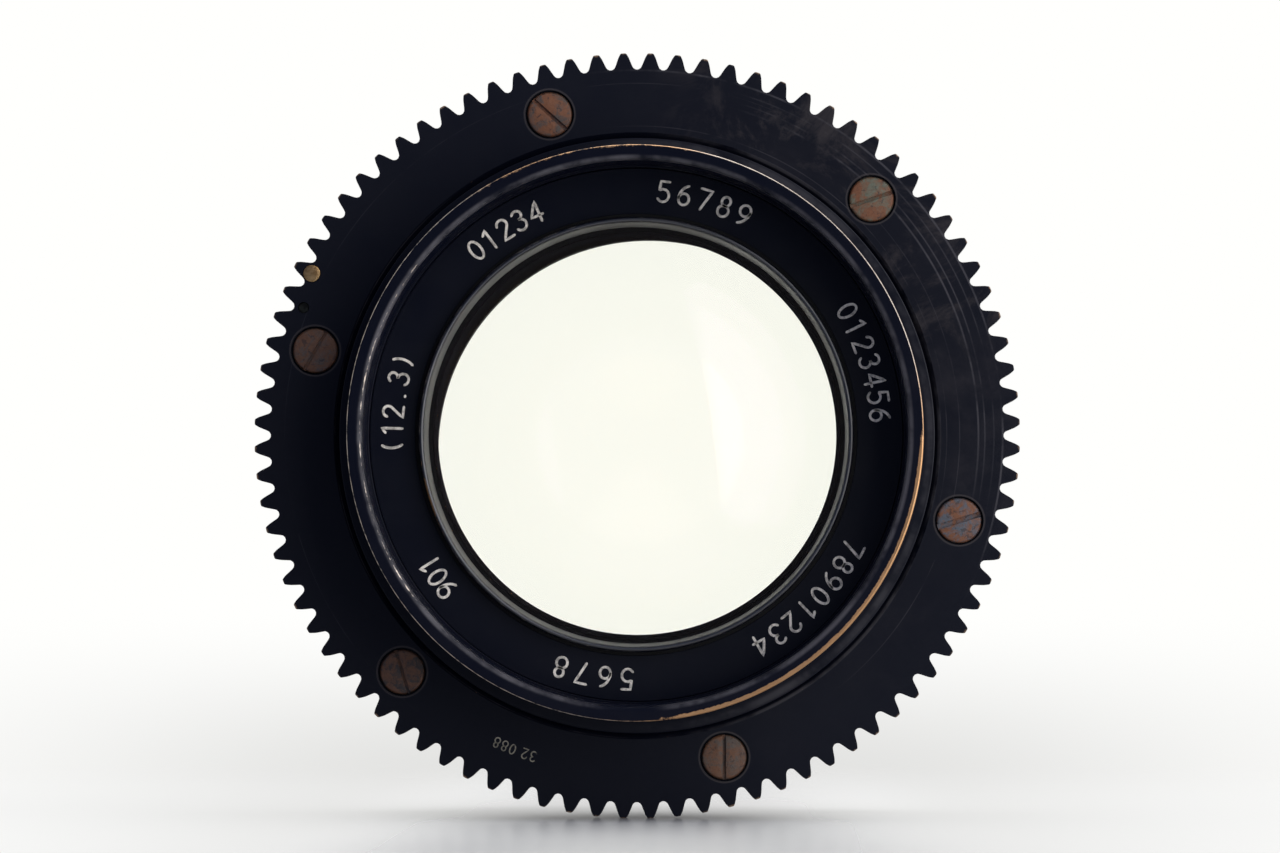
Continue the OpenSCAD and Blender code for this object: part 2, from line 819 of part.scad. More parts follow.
mount_flange();
mount_body();
mount_screws();
locating_pin();
guide_key();
focus_index();
focus_stop_pin();
focus_sleeve();
sleeve_guide_screws();
focus_gear();
gear_screws();
gear_pin();
gear_set_screw();
barrel_tube();
front_rim();
name_ring();
front_cell();
front_retainer();
front_element();
front_spacer();
front_doublet_crown();
front_doublet_flint();
doublet_retainer();
iris_housing();
iris_housing_screws();
rear_cell();
rear_doublet_flint();
rear_doublet_crown();
rear_spacer();
rear_element();
rear_retainer();
iris_ring();
iris_drive_pin();
iris_drive_tube();
iris_cam_ring();
iris_index();
iris_blade(0);  // iris_blade_1
iris_blade(1);  // iris_blade_2
iris_blade(2);  // iris_blade_3
iris_blade(3);  // iris_blade_4
iris_blade(4);  // iris_blade_5
iris_blade(5);  // iris_blade_6
iris_blade(6);  // iris_blade_7
iris_blade(7);  // iris_blade_8
iris_blade(8);  // iris_blade_9
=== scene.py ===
import math

import bmesh
import bpy
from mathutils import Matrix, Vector


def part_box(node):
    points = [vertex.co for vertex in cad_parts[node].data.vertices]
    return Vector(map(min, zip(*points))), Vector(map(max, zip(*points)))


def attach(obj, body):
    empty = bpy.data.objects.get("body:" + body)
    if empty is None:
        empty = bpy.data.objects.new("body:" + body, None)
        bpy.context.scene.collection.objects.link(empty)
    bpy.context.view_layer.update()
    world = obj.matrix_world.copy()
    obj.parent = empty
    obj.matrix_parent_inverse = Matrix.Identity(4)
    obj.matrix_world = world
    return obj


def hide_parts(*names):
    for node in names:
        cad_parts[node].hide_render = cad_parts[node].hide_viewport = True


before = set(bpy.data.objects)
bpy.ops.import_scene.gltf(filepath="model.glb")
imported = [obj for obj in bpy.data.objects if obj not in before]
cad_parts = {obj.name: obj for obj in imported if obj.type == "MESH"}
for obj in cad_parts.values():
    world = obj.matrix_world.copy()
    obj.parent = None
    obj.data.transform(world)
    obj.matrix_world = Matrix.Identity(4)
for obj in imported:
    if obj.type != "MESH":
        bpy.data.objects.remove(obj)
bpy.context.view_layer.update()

# ---------------------------------------------------------------- sizes
# Lens coordinates: x right and y up as seen from the front, z out of the front, in mm.
MM = 0.001


def node_box(node):
    """A CAD node's box in lens coordinates: its back and front z and its largest radius, in mm."""
    low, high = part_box(node)
    return {"back": -high[1] / MM, "front": -low[1] / MM, "r": high[0] / MM}


GEAR = node_box("focus_gear")
RIM = node_box("front_rim")
NAME = node_box("name_ring")
RETAINER = node_box("front_retainer")
SLEEVE = node_box("focus_sleeve")
IRIS = node_box("iris_ring")
# the middle of the gear's face, in the frame's metres
MIDDLE = Vector((0.0, -GEAR["front"] * MM, 0.0))

TEETH = 88
GEAR_TIP_R = 35.72
GEAR_ROOT_R = 34.2
GEAR_BORE_R = 27.8
TOOTH_PHASE = 2.035
SCREW_COUNT = 6
SCREW_RING_R = 31.08
SCREW_PHASE = 45.2
SCREW_HEAD_R = 2.1
SCREW_HEAD_T = 1.45
SCREW_HOLE_R = 2.27
SCREW_HOLE_DEPTH = 0.70
# ring radius and angle of the brass dowel and of the headless screw beside it
DOWEL_PLACE = (33.93, 153.5)
GRUB_PLACE = (33.35, 159.0)
SLEEVE_R = 31.5
FLANGE_R = 33.0
# z of the vertex of the front element
FRONT_VERTEX = 42.97


# ---------------------------------------------------------------- mesh tools
def place(x, y, z):
    """A point in lens coordinates, in mm, to the frame's metres."""
    return Vector((x * MM, -z * MM, y * MM))


def ring_point(r, angle):
    """A point on a circle about the axis, as (x, y) in mm."""
    a = math.radians(angle)
    return r * math.cos(a), r * math.sin(a)


def polar(r, angle, z=0.0):
    return place(*ring_point(r, angle), z)


# the middles of the gear screws
SCREW_PLACES = [ring_point(SCREW_RING_R, SCREW_PHASE + 360 * k / SCREW_COUNT) for k in range(SCREW_COUNT)]
# a face whose normal has at least this share along the axis lies square to it
SQUARE = 0.99995
# a point of an outline with a smaller radius than this lies on the axis
ON_AXIS = 1e-9


def new_object(name, mesh, material, body, nodes=()):
    piece = bpy.data.objects.new(name, mesh)
    bpy.context.scene.collection.objects.link(piece)
    mesh.materials.append(material)
    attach(piece, body)
    if nodes:
        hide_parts(*nodes)
    return piece


def smooth(mesh, angle=35):
    """Smooth shading, except on the faces that lie square to the axis, which stay flat."""
    mesh.set_sharp_from_angle(angle=math.radians(angle))
    mesh.polygons.foreach_set("use_smooth", [abs(face.normal.y) < SQUARE for face in mesh.polygons])


def finish_mesh(bm, name, angle=35):
    bmesh.ops.recalc_face_normals(bm, faces=bm.faces)
    mesh = bpy.data.meshes.new(name)
    bm.to_mesh(mesh)
    bm.free()
    smooth(mesh, angle)
    return mesh


def bend(start, corner, end, t):
    """A point on the curve that rounds a corner from start to end."""
    return tuple((1 - t) ** 2 * start[k] + 2 * t * (1 - t) * corner[k] + t * t * end[k] for k in (0, 1))


def soften(points, size):
    """Rounds the corners of a closed outline given as (r, z) points, by at most size."""
    steps = 3
    out = []
    for i, p in enumerate(points):
        if p[0] < ON_AXIS:
            out.append(p)
            continue
        a, b = points[i - 1], points[(i + 1) % len(points)]
        da, db = math.dist(p, a), math.dist(p, b)
        cut = min(size, da * 0.4, db * 0.4)
        start = [p[k] + (a[k] - p[k]) * cut / da for k in (0, 1)]
        end = [p[k] + (b[k] - p[k]) * cut / db for k in (0, 1)]
        out += [bend(start, p, end, step / steps) for step in range(steps + 1)]
    return out


def lathe_mesh(name, points, segments=256, edge=0.06, wobble=None):
    """Turns an outline of (r, z) points about the axis. wobble(angle, r, z) may move a radius."""
    outline = soften(points, edge) if edge else points
    bm = bmesh.new()
    rings = []
    for r, z in outline:
        if r < ON_AXIS:
            rings.append([bm.verts.new(place(0, 0, z))])
            continue
        ring = []
        for j in range(segments):
            angle = 360 * j / segments
            radius = wobble(angle, r, z) if wobble else r
            ring.append(bm.verts.new(polar(radius, angle, z)))
        rings.append(ring)
    for i, ring in enumerate(rings):
        other = rings[(i + 1) % len(rings)]
        if len(ring) == 1 and len(other) == 1:
            continue
        for j in range(segments):
            k = (j + 1) % segments
            if len(ring) == 1:
                bm.faces.new((ring[0], other[j], other[k]))
            elif len(other) == 1:
                bm.faces.new((ring[j], ring[k], other[0]))
            else:
                bm.faces.new((ring[j], ring[k], other[k], other[j]))
    return finish_mesh(bm, name)


def lathe(name, points, material, body, slot, nodes=(), **options):
    return new_object(name, lathe_mesh(name, points, **options), material, body, nodes)


def apply_modifiers(piece):
    graph = bpy.context.evaluated_depsgraph_get()
    mesh = bpy.data.meshes.new_from_object(piece.evaluated_get(graph))
    old = piece.data
    piece.modifiers.clear()
    piece.data = mesh
    bpy.data.meshes.remove(old)


def refined(node, name, material, body, edge):
    """A bevelled, smooth-shaded copy of a CAD node's shape that stands for it."""
    bm = bmesh.new()
    bm.from_mesh(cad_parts[node].data)
    bmesh.ops.remove_doubles(bm, verts=bm.verts, dist=1e-7)
    bmesh.ops.dissolve_limit(
        bm, angle_limit=math.radians(0.4), verts=bm.verts, edges=bm.edges, use_dissolve_boundaries=False
    )
    piece = new_object(name, finish_mesh(bm, name), material, body, (node,))
    bevel = piece.modifiers.new("edges", "BEVEL")
    bevel.width = edge * MM
    bevel.segments = 2
    bevel.limit_method = "ANGLE"
    bevel.angle_limit = math.radians(30)
    bevel.use_clamp_overlap = True
    apply_modifiers(piece)
    smooth(piece.data)


def cut_holes(piece, holes):
    """Bores round holes given as (x, y, radius, z0, z1) out of a piece."""
    sides = 48
    bm = bmesh.new()
    for x, y, r, z0, z1 in holes:
        circle = [ring_point(r, 360 * j / sides) for j in range(sides)]
        low, high = ([bm.verts.new(place(x + u, y + v, z)) for u, v in circle] for z in (z0, z1))
        for j in range(sides):
            k = (j + 1) % sides
            bm.faces.new((low[j], low[k], high[k], high[j]))
        bm.faces.new(low[::-1])
        bm.faces.new(high)
    cutter = bpy.data.objects.new("cutter", finish_mesh(bm, "cutter"))
    bpy.context.scene.collection.objects.link(cutter)
    boolean = piece.modifiers.new("holes", "BOOLEAN")
    boolean.operation = "DIFFERENCE"
    boolean.solver = "EXACT"
    boolean.object = cutter
    bpy.context.view_layer.update()
    apply_modifiers(piece)
    bpy.data.objects.remove(cutter)
    smooth(piece.data)


# ---------------------------------------------------------------- materials
class Graph:
    """Short ways to build a node tree. A value is a number, a colour or another node's output."""

    def __init__(self, tree):
        self.tree = tree
        tree.nodes.clear()

    def link(self, a, b):
        self.tree.links.new(a, b)

    def put(self, socket, value):
        if isinstance(value, (int, float, tuple)):
            socket.default_value = value
        else:
            self.link(value, socket)

    def split(self, vector):
        node = self.tree.nodes.new("ShaderNodeSeparateXYZ")
        self.link(vector, node.inputs[0])
        return node.outputs

    def math(self, operation, a, b=None, clamp=False):
        node = self.tree.nodes.new("ShaderNodeMath")
        node.operation = operation
        node.use_clamp = clamp
        self.put(node.inputs[0], a)
        if b is not None:
            self.put(node.inputs[1], b)
        return node.outputs[0]

    def add(self, a, b, clamp=False):
        return self.math("ADD", a, b, clamp)

    def times(self, a, b, clamp=False):
        return self.math("MULTIPLY", a, b, clamp)

    def square(self, a):
        return self.times(a, a)

    def length(self, a, b):
        """The length of the vector (a, b)."""
        return self.math("SQRT", self.add(self.square(a), self.square(b)))

    def distance(self, a, b):
        return self.math("ABSOLUTE", self.math("SUBTRACT", a, b))

    def step(self, value, low, high, to_low=0.0, to_high=1.0):
        """A smooth change from to_low to to_high while the value goes from low to high."""
        node = self.tree.nodes.new("ShaderNodeMapRange")
        node.interpolation_type = "SMOOTHSTEP"
        self.put(node.inputs["Value"], value)
        node.inputs["From Min"].default_value = low
        node.inputs["From Max"].default_value = high
        node.inputs["To Min"].default_value = to_low
        node.inputs["To Max"].default_value = to_high
        return node.outputs[0]

    def mix(self, factor, a, b):
        """A colour between the colours a and b."""
        node = self.tree.nodes.new("ShaderNodeMix")
        node.data_type = "RGBA"
        self.put(node.inputs["Factor"], factor)
        for socket, value in ((node.inputs["A"], a), (node.inputs["B"], b)):
            self.put(socket, value + (1.0,) if isinstance(value, tuple) else value)
        return node.outputs["Result"]

    def blend(self, factor, a, b):
        """A number between the numbers a and b."""
        return self.add(self.times(factor, b - a), a)


class Nodes(Graph):
    """A material's node tree, with its shader and the frame's coordinates in metres."""

    def __init__(self, name):
        self.material = bpy.data.materials.new(name)
        self.material.use_nodes = True
        super().__init__(self.material.node_tree)
        self.shader = self.tree.nodes.new("ShaderNodeBsdfPrincipled")
        output = self.tree.nodes.new("ShaderNodeOutputMaterial")
        self.link(self.shader.outputs[0], output.inputs[0])
        coords = self.tree.nodes.new("ShaderNodeTexCoord")
        self.point = coords.outputs["Object"]
        self.x, self.depth, self.z = self.split(self.point)
        self.radius = self.length(self.x, self.z)

    def set(self, **values):
        for name, value in values.items():
            self.put(self.shader.inputs[name.replace("_", " ")], value)

    def vector(self, x, y, z):
        node = self.tree.nodes.new("ShaderNodeCombineXYZ")
        for socket, value in zip(node.inputs, (x, y, z)):
            self.put(socket, value)
        return node.outputs[0]

    def noise(self, scale, detail=3.0, rough=0.6, vector=None, distortion=0.0):
        node = self.tree.nodes.new("ShaderNodeTexNoise")
        self.link(vector or self.point, node.inputs["Vector"])
        node.inputs["Scale"].default_value = scale
        node.inputs["Detail"].default_value = detail
        node.inputs["Roughness"].default_value = rough
        node.inputs["Distortion"].default_value = distortion
        return node.outputs["Fac"]

    def edge(self, r, z, width):
        """1 on the circle of radius r at z, falling to 0 at width from it, all in mm."""
        outward = self.math("SUBTRACT", self.radius, r * MM)
        forward = self.add(self.depth, z * MM)
        return self.step(self.length(outward, forward), 0.0, width * MM, 1.0, 0.0)

    def sector(self, angle, half, soft=12):
        """1 near an angle about the axis, 0 further than half plus soft degrees from it."""
        a = math.radians(angle)
        along = self.add(self.times(self.x, math.cos(a)), self.times(self.z, math.sin(a)))
        cosine = self.math("DIVIDE", along, self.math("MAXIMUM", self.radius, 1e-6))
        outside = math.cos(math.radians(min(half + soft, 179)))
        return self.step(cosine, outside, math.cos(math.radians(half)))

    def bump(self, height, strength, distance, normal=None):
        node = self.tree.nodes.new("ShaderNodeBump")
        node.inputs["Strength"].default_value = strength
        node.inputs["Distance"].default_value = distance
        self.put(node.inputs["Height"], height)
        if normal:
            self.link(normal, node.inputs["Normal"])
        return node.outputs[0]


BLACK = (0.0016, 0.0025, 0.0080)
# grey of dust on the black; in the gear's sector on the lit side it is also a painted sheen
DUSTY = (0.018, 0.0165, 0.022)
STAIN = (0.040, 0.034, 0.036)
# grey of the painted sheen on single turned lines
SHEEN_GREY = (0.10, 0.095, 0.105)
# lighter grey of the painted highlight on the edges of the screw holes
HOLE_HIGHLIGHT = (0.060, 0.052, 0.052)
FLECK = (0.10, 0.095, 0.09)
PIT = (0.018, 0.016, 0.018)
BRASS = (0.54, 0.295, 0.135)
SILVER = (0.42, 0.38, 0.34)
PIN_BRASS = (0.62, 0.42, 0.20)
DARK_BRASS = (0.34, 0.20, 0.09)
INK = (0.62, 0.60, 0.54)


def turned_lines(n):
    """Fine grooves left by the lathe: rings on faces, bands on cylinders."""

    def bands(scale, drifting, drift, detail):
        across = n.times(n.radius, scale)
        return n.noise(1.0, detail, 0.7, n.vector(across, n.times(n.depth, scale), n.times(drifting, drift)))

    fine = bands(9000.0, n.x, 6.0, 2.0)
    coarse = bands(1700.0, n.z, 20.0, 3.0)
    return n.add(n.times(fine, 0.5), coarse)


def dusty_black(n, smudge, grooves, dust, dust_and_sheen_sector):
    """The black itself, greyer where dust lies in patches and along the grooves, and, given a sector, mostly
    on the side where the light falls, where the grey is partly dust and partly a painted sheen.
    """
    patches = n.noise(70.0, 5.0, 0.62, distortion=0.4)
    grime = n.times(n.step(patches, 0.44, 0.72), n.step(smudge, 0.32, 0.75))
    amount = n.add(grime, n.times(n.step(grooves, 0.88, 1.05), 0.4))
    # keeps the grey mostly to the sector on the lit side: partly dust, partly a painted sheen
    if dust_and_sheen_sector:
        amount = n.times(amount, n.step(n.sector(*dust_and_sheen_sector), 0.0, 1.0, 0.12, 1.0))
    colour = n.mix(n.times(amount, dust, clamp=True), BLACK, DUSTY)
    if dust_and_sheen_sector:
        stains = n.step(n.noise(110.0, 6.0, 0.72, distortion=0.8), 0.48, 0.66)
        colour = n.mix(n.times(n.times(n.sector(46, 20, 24), stains), 0.75), colour, STAIN)
    return colour


def painted_sheen_line(n, colour, r, width, strength, sector):
    """A broken turned line of radius r, painted lighter in one sector where it catches the light: a painted
    sheen.
    """
    away = n.distance(n.radius, r * MM)
    line = n.times(n.step(away, 0.2 * width * MM, width * MM, 1.0, 0.0), n.sector(*sector))
    line = n.times(line, n.step(n.noise(140.0, 4.0, 0.7), 0.35, 0.62))
    return n.mix(n.times(line, strength), colour, SHEEN_GREY)


def painted_hole_highlight(n, colour, x, y, r):
    """A thin lighter ring round a screw hole: a painted highlight on the hole's edge."""
    from_middle = n.length(n.math("SUBTRACT", n.x, x * MM), n.math("SUBTRACT", n.z, y * MM))
    away = n.distance(from_middle, r * MM)
    return n.mix(n.step(away, 0.02 * MM, 0.14 * MM, 0.55, 0.0), colour, HOLE_HIGHLIGHT)


def wear(n, chips, edges, tip_wear):
    """Where the black has gone: on the listed edges and, if wanted, on the tips of the teeth."""
    worn = []
    for r, z, width, strength, *sector in edges:
        mask = n.times(n.edge(r, z, width), strength)
        if sector:
            mask = n.times(mask, n.sector(*sector[0]))
        worn.append(n.step(n.add(mask, chips), 0.93, 1.12))
    if tip_wear:
        tips = n.step(n.radius, (GEAR_TIP_R - 0.40) * MM, GEAR_TIP_R * MM)
        worn.append(n.times(n.step(n.add(n.times(tips, 0.42), chips), 0.80, 1.05), 0.55))
    total = None
    for part in worn:
        total = part if total is None else n.math("MAXIMUM", total, part)
    return total


def black_finish(name, edges=(), warm=None, dust=0.5, rough=0.34, lines=0.12, tip_wear=False, dust_and_sheen_sector=None,
                 rings=(), gloss=0.18, holes=()):
    """Black oxide over brass, with dust, flecks and wear, and with painted sheen lines and painted
    highlights.

    edges are (r, z, width, strength), with a sector if wanted, each worn to the metal, and warm gives the
    share of brass in that metal. dust is how dusty the black is, and dust_and_sheen_sector the sector, on
    the lit side, where dust gathers and where the greyer black is also a painted sheen from the light.
    lines is the depth of the lathe grooves, rings are (r, width, strength, sector) of single turned lines
    painted lighter in their sector as a painted sheen, and holes are (x, y, r) of circles with a painted
    highlight ring.
    """
    n = Nodes(name)
    smudge = n.noise(260.0, 4.0, 0.7)
    grooves = turned_lines(n)
    colour = dusty_black(n, smudge, grooves, dust, dust_and_sheen_sector)
    # painted sheen: single turned lines made lighter in the sectors where they catch the light
    for ring in rings:
        colour = painted_sheen_line(n, colour, *ring)
    # painted highlight rings round the screw holes
    for hole in holes:
        colour = painted_hole_highlight(n, colour, *hole)
    scratches = n.noise(48.0, 8.0, 0.82, distortion=2.2)
    specks = n.step(n.noise(2600.0, 2.0, 0.6), 0.74, 0.80)
    colour = n.mix(n.times(n.times(specks, n.step(scratches, 0.55, 0.70)), 0.55), colour, FLECK)
    chips = n.noise(900.0, 4.0, 0.75)
    worn = wear(n, chips, edges, tip_wear)
    if worn is not None:
        colour = n.mix(worn, colour, n.mix(warm(n) if warm else chips, SILVER, BRASS))
        n.set(Metallic=worn)
    n.set(Base_Color=colour, Roughness=n.blend(n.noise(180.0, 4.0, 0.65), rough - 0.06, rough + 0.20))
    n.set(Normal=n.bump(grooves, lines, 0.00002, n.bump(smudge, 0.06, 0.0001)))
    n.set(Specular_IOR_Level=gloss)
    return n.material


def rim_warmth(n):
    """Brass shows at the lower right and at the top of the rim; elsewhere the edge is silvery."""
    low = n.sector(-42, 38, 22)
    top = n.sector(100, 14, 14)
    both = n.math("MAXIMUM", low, n.times(top, 0.9))
    return n.add(n.times(both, 0.85), n.times(n.noise(300.0, 3.0), 0.2), clamp=True)


def bare_metal(name, colour, dark, rough, scale=900.0):
    """Metal without a finish, stained in patches."""
    n = Nodes(name)
    stain = n.noise(scale, 5.0, 0.7, distortion=0.5)
    n.set(Base_Color=n.mix(n.step(stain, 0.35, 0.7), dark, colour))
    n.set(Roughness=n.blend(n.noise(scale * 0.7, 4.0), rough - 0.08, rough + 0.15), Metallic=1.0)
    n.set(Normal=n.bump(n.noise(scale * 2.2, 3.0), 0.25, 0.00003))
    return n.material


def matt_black(name, level=0.010):
    n = Nodes(name)
    mottled = n.noise(400.0, 4.0, 0.7)
    dark = (level * 0.5, level * 0.5, level * 0.55)
    light = (level * 1.6, level * 1.6, level * 1.7)
    n.set(Base_Color=n.mix(mottled, dark, light), Specular_IOR_Level=0.12)
    n.set(Roughness=n.blend(n.noise(150.0, 3.0), 0.65, 0.85))
    return n.material


def scaled(colour, share):
    return tuple(c * share for c in colour)


def screw_metal(name, rust, patina, amount):
    """Tarnished brass-plated steel: brown rust, with grey or green patches over amount of it."""
    n = Nodes(name)
    blotch = n.noise(900.0, 6.0, 0.72, distortion=0.9)
    grain = n.noise(3600.0, 4.0, 0.7)
    pits = n.noise(2100.0, 3.0, 0.65, distortion=0.6)
    colour = n.mix(n.step(blotch, 0.62 - amount * 0.32, 0.72 - amount * 0.14), rust, patina)
    colour = n.mix(n.times(n.step(grain, 0.42, 0.70), 0.40), colour, scaled(rust, 0.45))
    colour = n.mix(n.times(n.step(pits, 0.58, 0.66), 0.6), colour, PIT)
    n.set(Base_Color=colour, Roughness=n.blend(grain, 0.40, 0.68), Metallic=0.15)
    n.set(Normal=n.bump(n.noise(3000.0, 4.0), 0.40, 0.00004, n.bump(blotch, 0.25, 0.0001)))
    return n.material


def paint(name, colour, worn_away=False):
    """Paint in engraved marks, dirty in places and, if wanted, gone in others."""
    n = Nodes(name)
    dirt = n.noise(1500.0, 4.0, 0.7)
    painted = n.mix(n.step(dirt, 0.30, 0.62), scaled(colour, 0.35), colour)
    if worn_away:
        painted = n.mix(n.step(n.noise(700.0, 4.0, 0.7), 0.60, 0.72), painted, DUSTY)
    n.set(Base_Color=painted, Roughness=n.blend(dirt, 0.5, 0.8))
    n.set(Normal=n.bump(dirt, 0.3, 0.00003))
    return n.material


def coated_glass(name, tint):
    """Clear glass with a single thin purple coating."""
    n = Nodes(name)
    n.set(Base_Color=tint + (1.0,), Roughness=0.0, Transmission_Weight=1.0, IOR=1.61)
    n.set(Thin_Film_Thickness=98.0, Thin_Film_IOR=1.38)
    return n.material


# ---------------------------------------------------------------- focus gear
# one flank of a tooth as (share of the pitch, share of the tooth's depth), from the root to the tip
FLANK = (
    (-0.5, 0.0), (-0.45, 0.0), (-0.36, 0.09), (-0.31, 0.24), (-0.25, 0.49), (-0.19, 0.74), (-0.10, 1.0),
    (0.0, 1.0),
)


def tooth_outline():
    """The gear's outline over one pitch as (share of the pitch, radius), with its corners rounded."""
    corner_cut = 0.22
    whole = list(FLANK[:-1]) + [(-a, h) for a, h in reversed(FLANK[1:-1])]
    out = []
    for i, p in enumerate(whole):
        before = whole[i - 1] if i else (whole[-1][0] - 1, whole[-1][1])
        after = whole[i + 1] if i + 1 < len(whole) else (whole[0][0] + 1, whole[0][1])
        start = [p[k] + (before[k] - p[k]) * corner_cut for k in (0, 1)]
        end = [p[k] + (after[k] - p[k]) * corner_cut for k in (0, 1)]
        out += [bend(start, p, end, t) for t in (0.0, 0.5, 1.0)]
    return [(share, GEAR_ROOT_R + (GEAR_TIP_R - GEAR_ROOT_R) * rise) for share, rise in out]


def gear_mesh():
    """The toothed ring: one radial slice for every point of the tooth outline."""
    outline = tooth_outline()
    step = 360 / TEETH
    back, front = GEAR["back"], GEAR["front"]
    edge = 0.07
    near = edge * 0.3
    bm = bmesh.new()
    slices = []
    for tooth in range(TEETH):
        for share, r in outline:
            angle = TOOTH_PHASE + step * (tooth + share)
            profile = [
                (GEAR_BORE_R, back),
                (GEAR_BORE_R, front - 0.5),
                (GEAR_BORE_R + 0.12, front - 0.38),
                (GEAR_BORE_R + 0.40, front - 0.08),
                (GEAR_BORE_R + 0.52, front),
                (r - edge, front),
                (r - near, front - near),
                (r, front - edge),
                (r, back + edge),
                (r - near, back + near),
                (r - edge, back),
            ]
            slices.append([bm.verts.new(polar(pr, angle, pz)) for pr, pz in profile])
    for i, ring in enumerate(slices):
        other = slices[(i + 1) % len(slices)]
        for j in range(len(ring)):
            k = (j + 1) % len(ring)
            bm.faces.new((ring[j], ring[k], other[k], other[j]))
    return finish_mesh(bm, "focus_gear_ring", 28)


def make_gear():
    # single turned lines painted lighter where they catch the light, mostly on the right: a painted sheen
    right = (32, 24, 22)
    rings = [
        (28.2, 0.22, 0.70, (0, 60, 30)), (28.2, 0.06, 0.45, (200, 50, 30)),
        (28.9, 0.06, 0.30, (40, 30, 30)), (30.1, 0.06, 0.25, (0, 30, 25)),
        (31.85, 0.13, 0.55, right), (32.45, 0.10, 0.42, right), (32.9, 0.06, 0.15, (140, 60, 40)),
        (33.3, 0.10, 0.25, (35, 25, 25)), (34.12, 0.14, 0.50, (36, 40, 25)),
    ]
    front = GEAR["front"]
    # its dust sector sits on the right, the lit side, where the greyer black is partly dust and partly a
    # painted sheen
    black = black_finish(
        "gear_black", [(GEAR_BORE_R + 0.45, front, 0.22, 0.34)], dust=0.85, rough=0.40, lines=0.25,
        tip_wear=True, dust_and_sheen_sector=(12, 34, 42), rings=rings,
        # painted highlight rings on the edges of the screw holes
        holes=[(x, y, SCREW_HOLE_R + 0.08) for x, y in SCREW_PLACES],
    )
    gear = new_object("gear_ring", gear_mesh(), black, "focus_ring", ("focus_gear",))
    above = front + 1
    holes = [(x, y, SCREW_HOLE_R, front - SCREW_HOLE_DEPTH, above) for x, y in SCREW_PLACES]
    for spot, radius in ((DOWEL_PLACE, 0.83), (GRUB_PLACE, 0.52)):
        holes.append((*ring_point(*spot), radius, front - 0.6, above))
    cut_holes(gear, holes)


def turned_place(p, x, y, angle):
    """A point (u, v, z) of a small piece, turned about its own axis and moved to x, y."""
    u, v, z = p
    turn = math.radians(angle)
    cos, sin = math.cos(turn), math.sin(turn)
    return place(x + u * cos - v * sin, y + u * sin + v * cos, z)


def screw_mesh(name, x, y, z, slot_angle, slot_w):
    """A slotted cheese-head screw: a slightly domed disc in two halves on either side of its slot."""
    rows, columns, sides = 9, 24, 64
    head_r = SCREW_HEAD_R
    dome, rounding, rounded_share, slot_chamfer = 0.10, 0.16, 0.07, 0.03
    slot_floor = z - 0.36
    half = slot_w / 2
    bm = bmesh.new()

    def vertex(u, v, level):
        return bm.verts.new(turned_place((u, v, level), x, y, slot_angle))

    def circle(r, level):
        return [vertex(*ring_point(r, 360 * j / sides), level) for j in range(sides)]

    for side in (1, -1):
        grid = []
        for i in range(rows + 1):
            v = half + (head_r - half) * math.sin(math.pi / 2 * i / rows)
            reach = math.sqrt(max(head_r ** 2 - v ** 2, 0.0))
            line = []
            for j in range(columns + 1):
                u = reach * math.sin(math.pi * (j / columns - 0.5))
                share = math.hypot(u, v) / head_r
                past = max(0.0, (share - 1 + rounded_share) / rounded_share)
                fall = dome * share ** 2 + rounding * past ** 2 + (slot_chamfer if i == 0 else 0.0)
                line.append((u, side * v, z - fall))
            grid.append(line)
        grid.insert(0, [(u, v, slot_floor) for u, v, _ in grid[0]])
        verts = [[vertex(*p) for p in line] for line in grid]
        for one, two in zip(verts, verts[1:]):
            for j in range(columns):
                quad = (one[j], one[j + 1], two[j + 1], two[j])
                bm.faces.new(quad if side > 0 else quad[::-1])
    top = circle(head_r, z - dome - rounding)
    bottom = circle(head_r, z - SCREW_HEAD_T)
    for j in range(sides):
        k = (j + 1) % sides
        bm.faces.new((top[j], top[k], bottom[k], bottom[j]))
    bm.faces.new(circle(head_r * 0.995, slot_floor))
    bm.faces.new(bottom[::-1])
    bmesh.ops.remove_doubles(bm, verts=bm.verts, dist=1e-8)
    mesh = bpy.data.meshes.new(name)
    bm.to_mesh(mesh)
    bm.free()
    smooth(mesh, 40)
    return mesh


def make_gear_screws():
    rust = (0.195, 0.074, 0.032)
    brown = (0.145, 0.064, 0.032)
    # rust, patina, share of patina, slot angle and slot width of each screw
    looks = [
        (rust, (0.125, 0.140, 0.100), 0.70, 19, 0.38),
        (rust, (0.080, 0.064, 0.054), 0.54, -42, 0.38),
        (brown, (0.085, 0.070, 0.062), 0.50, 60, 0.30),
        (brown, (0.036, 0.031, 0.030), 0.64, 107, 0.30),
        (brown, (0.090, 0.074, 0.062), 0.60, 90, 0.32),
        (rust, (0.090, 0.106, 0.130), 0.64, 17, 0.52),
    ]
    top = GEAR["front"] - 0.12
    for k, ((x, y), (rusty, patina, amount, slot_angle, slot_w)) in enumerate(zip(SCREW_PLACES, looks), 1):
        name = f"gear_screw_{k}"
        mesh = screw_mesh(name, x, y, top, slot_angle, slot_w)
        metal = screw_metal(name + "_metal", rusty, patina, amount)
        new_object(name, mesh, metal, "focus_ring", ("gear_screws",))


def gear_plug(name, spot, r, top, crown, material, node):
    """A small round piece let into the gear's face, with a crown on its top."""
    points = [(0, top + crown), (r * 0.6, top + crown * 0.7), (r, top), (r, GEAR["back"]), (0, GEAR["back"])]
    mesh = lathe_mesh(name, points, segments=48, edge=0.05)
    shift = place(*ring_point(*spot), 0)
    for v in mesh.vertices:
        v.co += shift
    new_object(name, mesh, material, "focus_ring", (node,))


def make_gear_pins():
    front = GEAR["front"]
    brass = bare_metal("pin_brass", PIN_BRASS, (0.30, 0.17, 0.07), 0.38, 1600.0)
    gear_plug("gear_dowel", DOWEL_PLACE, 0.785, front + 0.05, 0.04, brass, "gear_pin")
    dull = bare_metal("grub_steel", (0.040, 0.045, 0.040), (0.012, 0.012, 0.012), 0.55, 1600.0)
    gear_plug("gear_grub", GRUB_PLACE, 0.49, front - 0.2, 0.0, dull, "gear_set_screw")


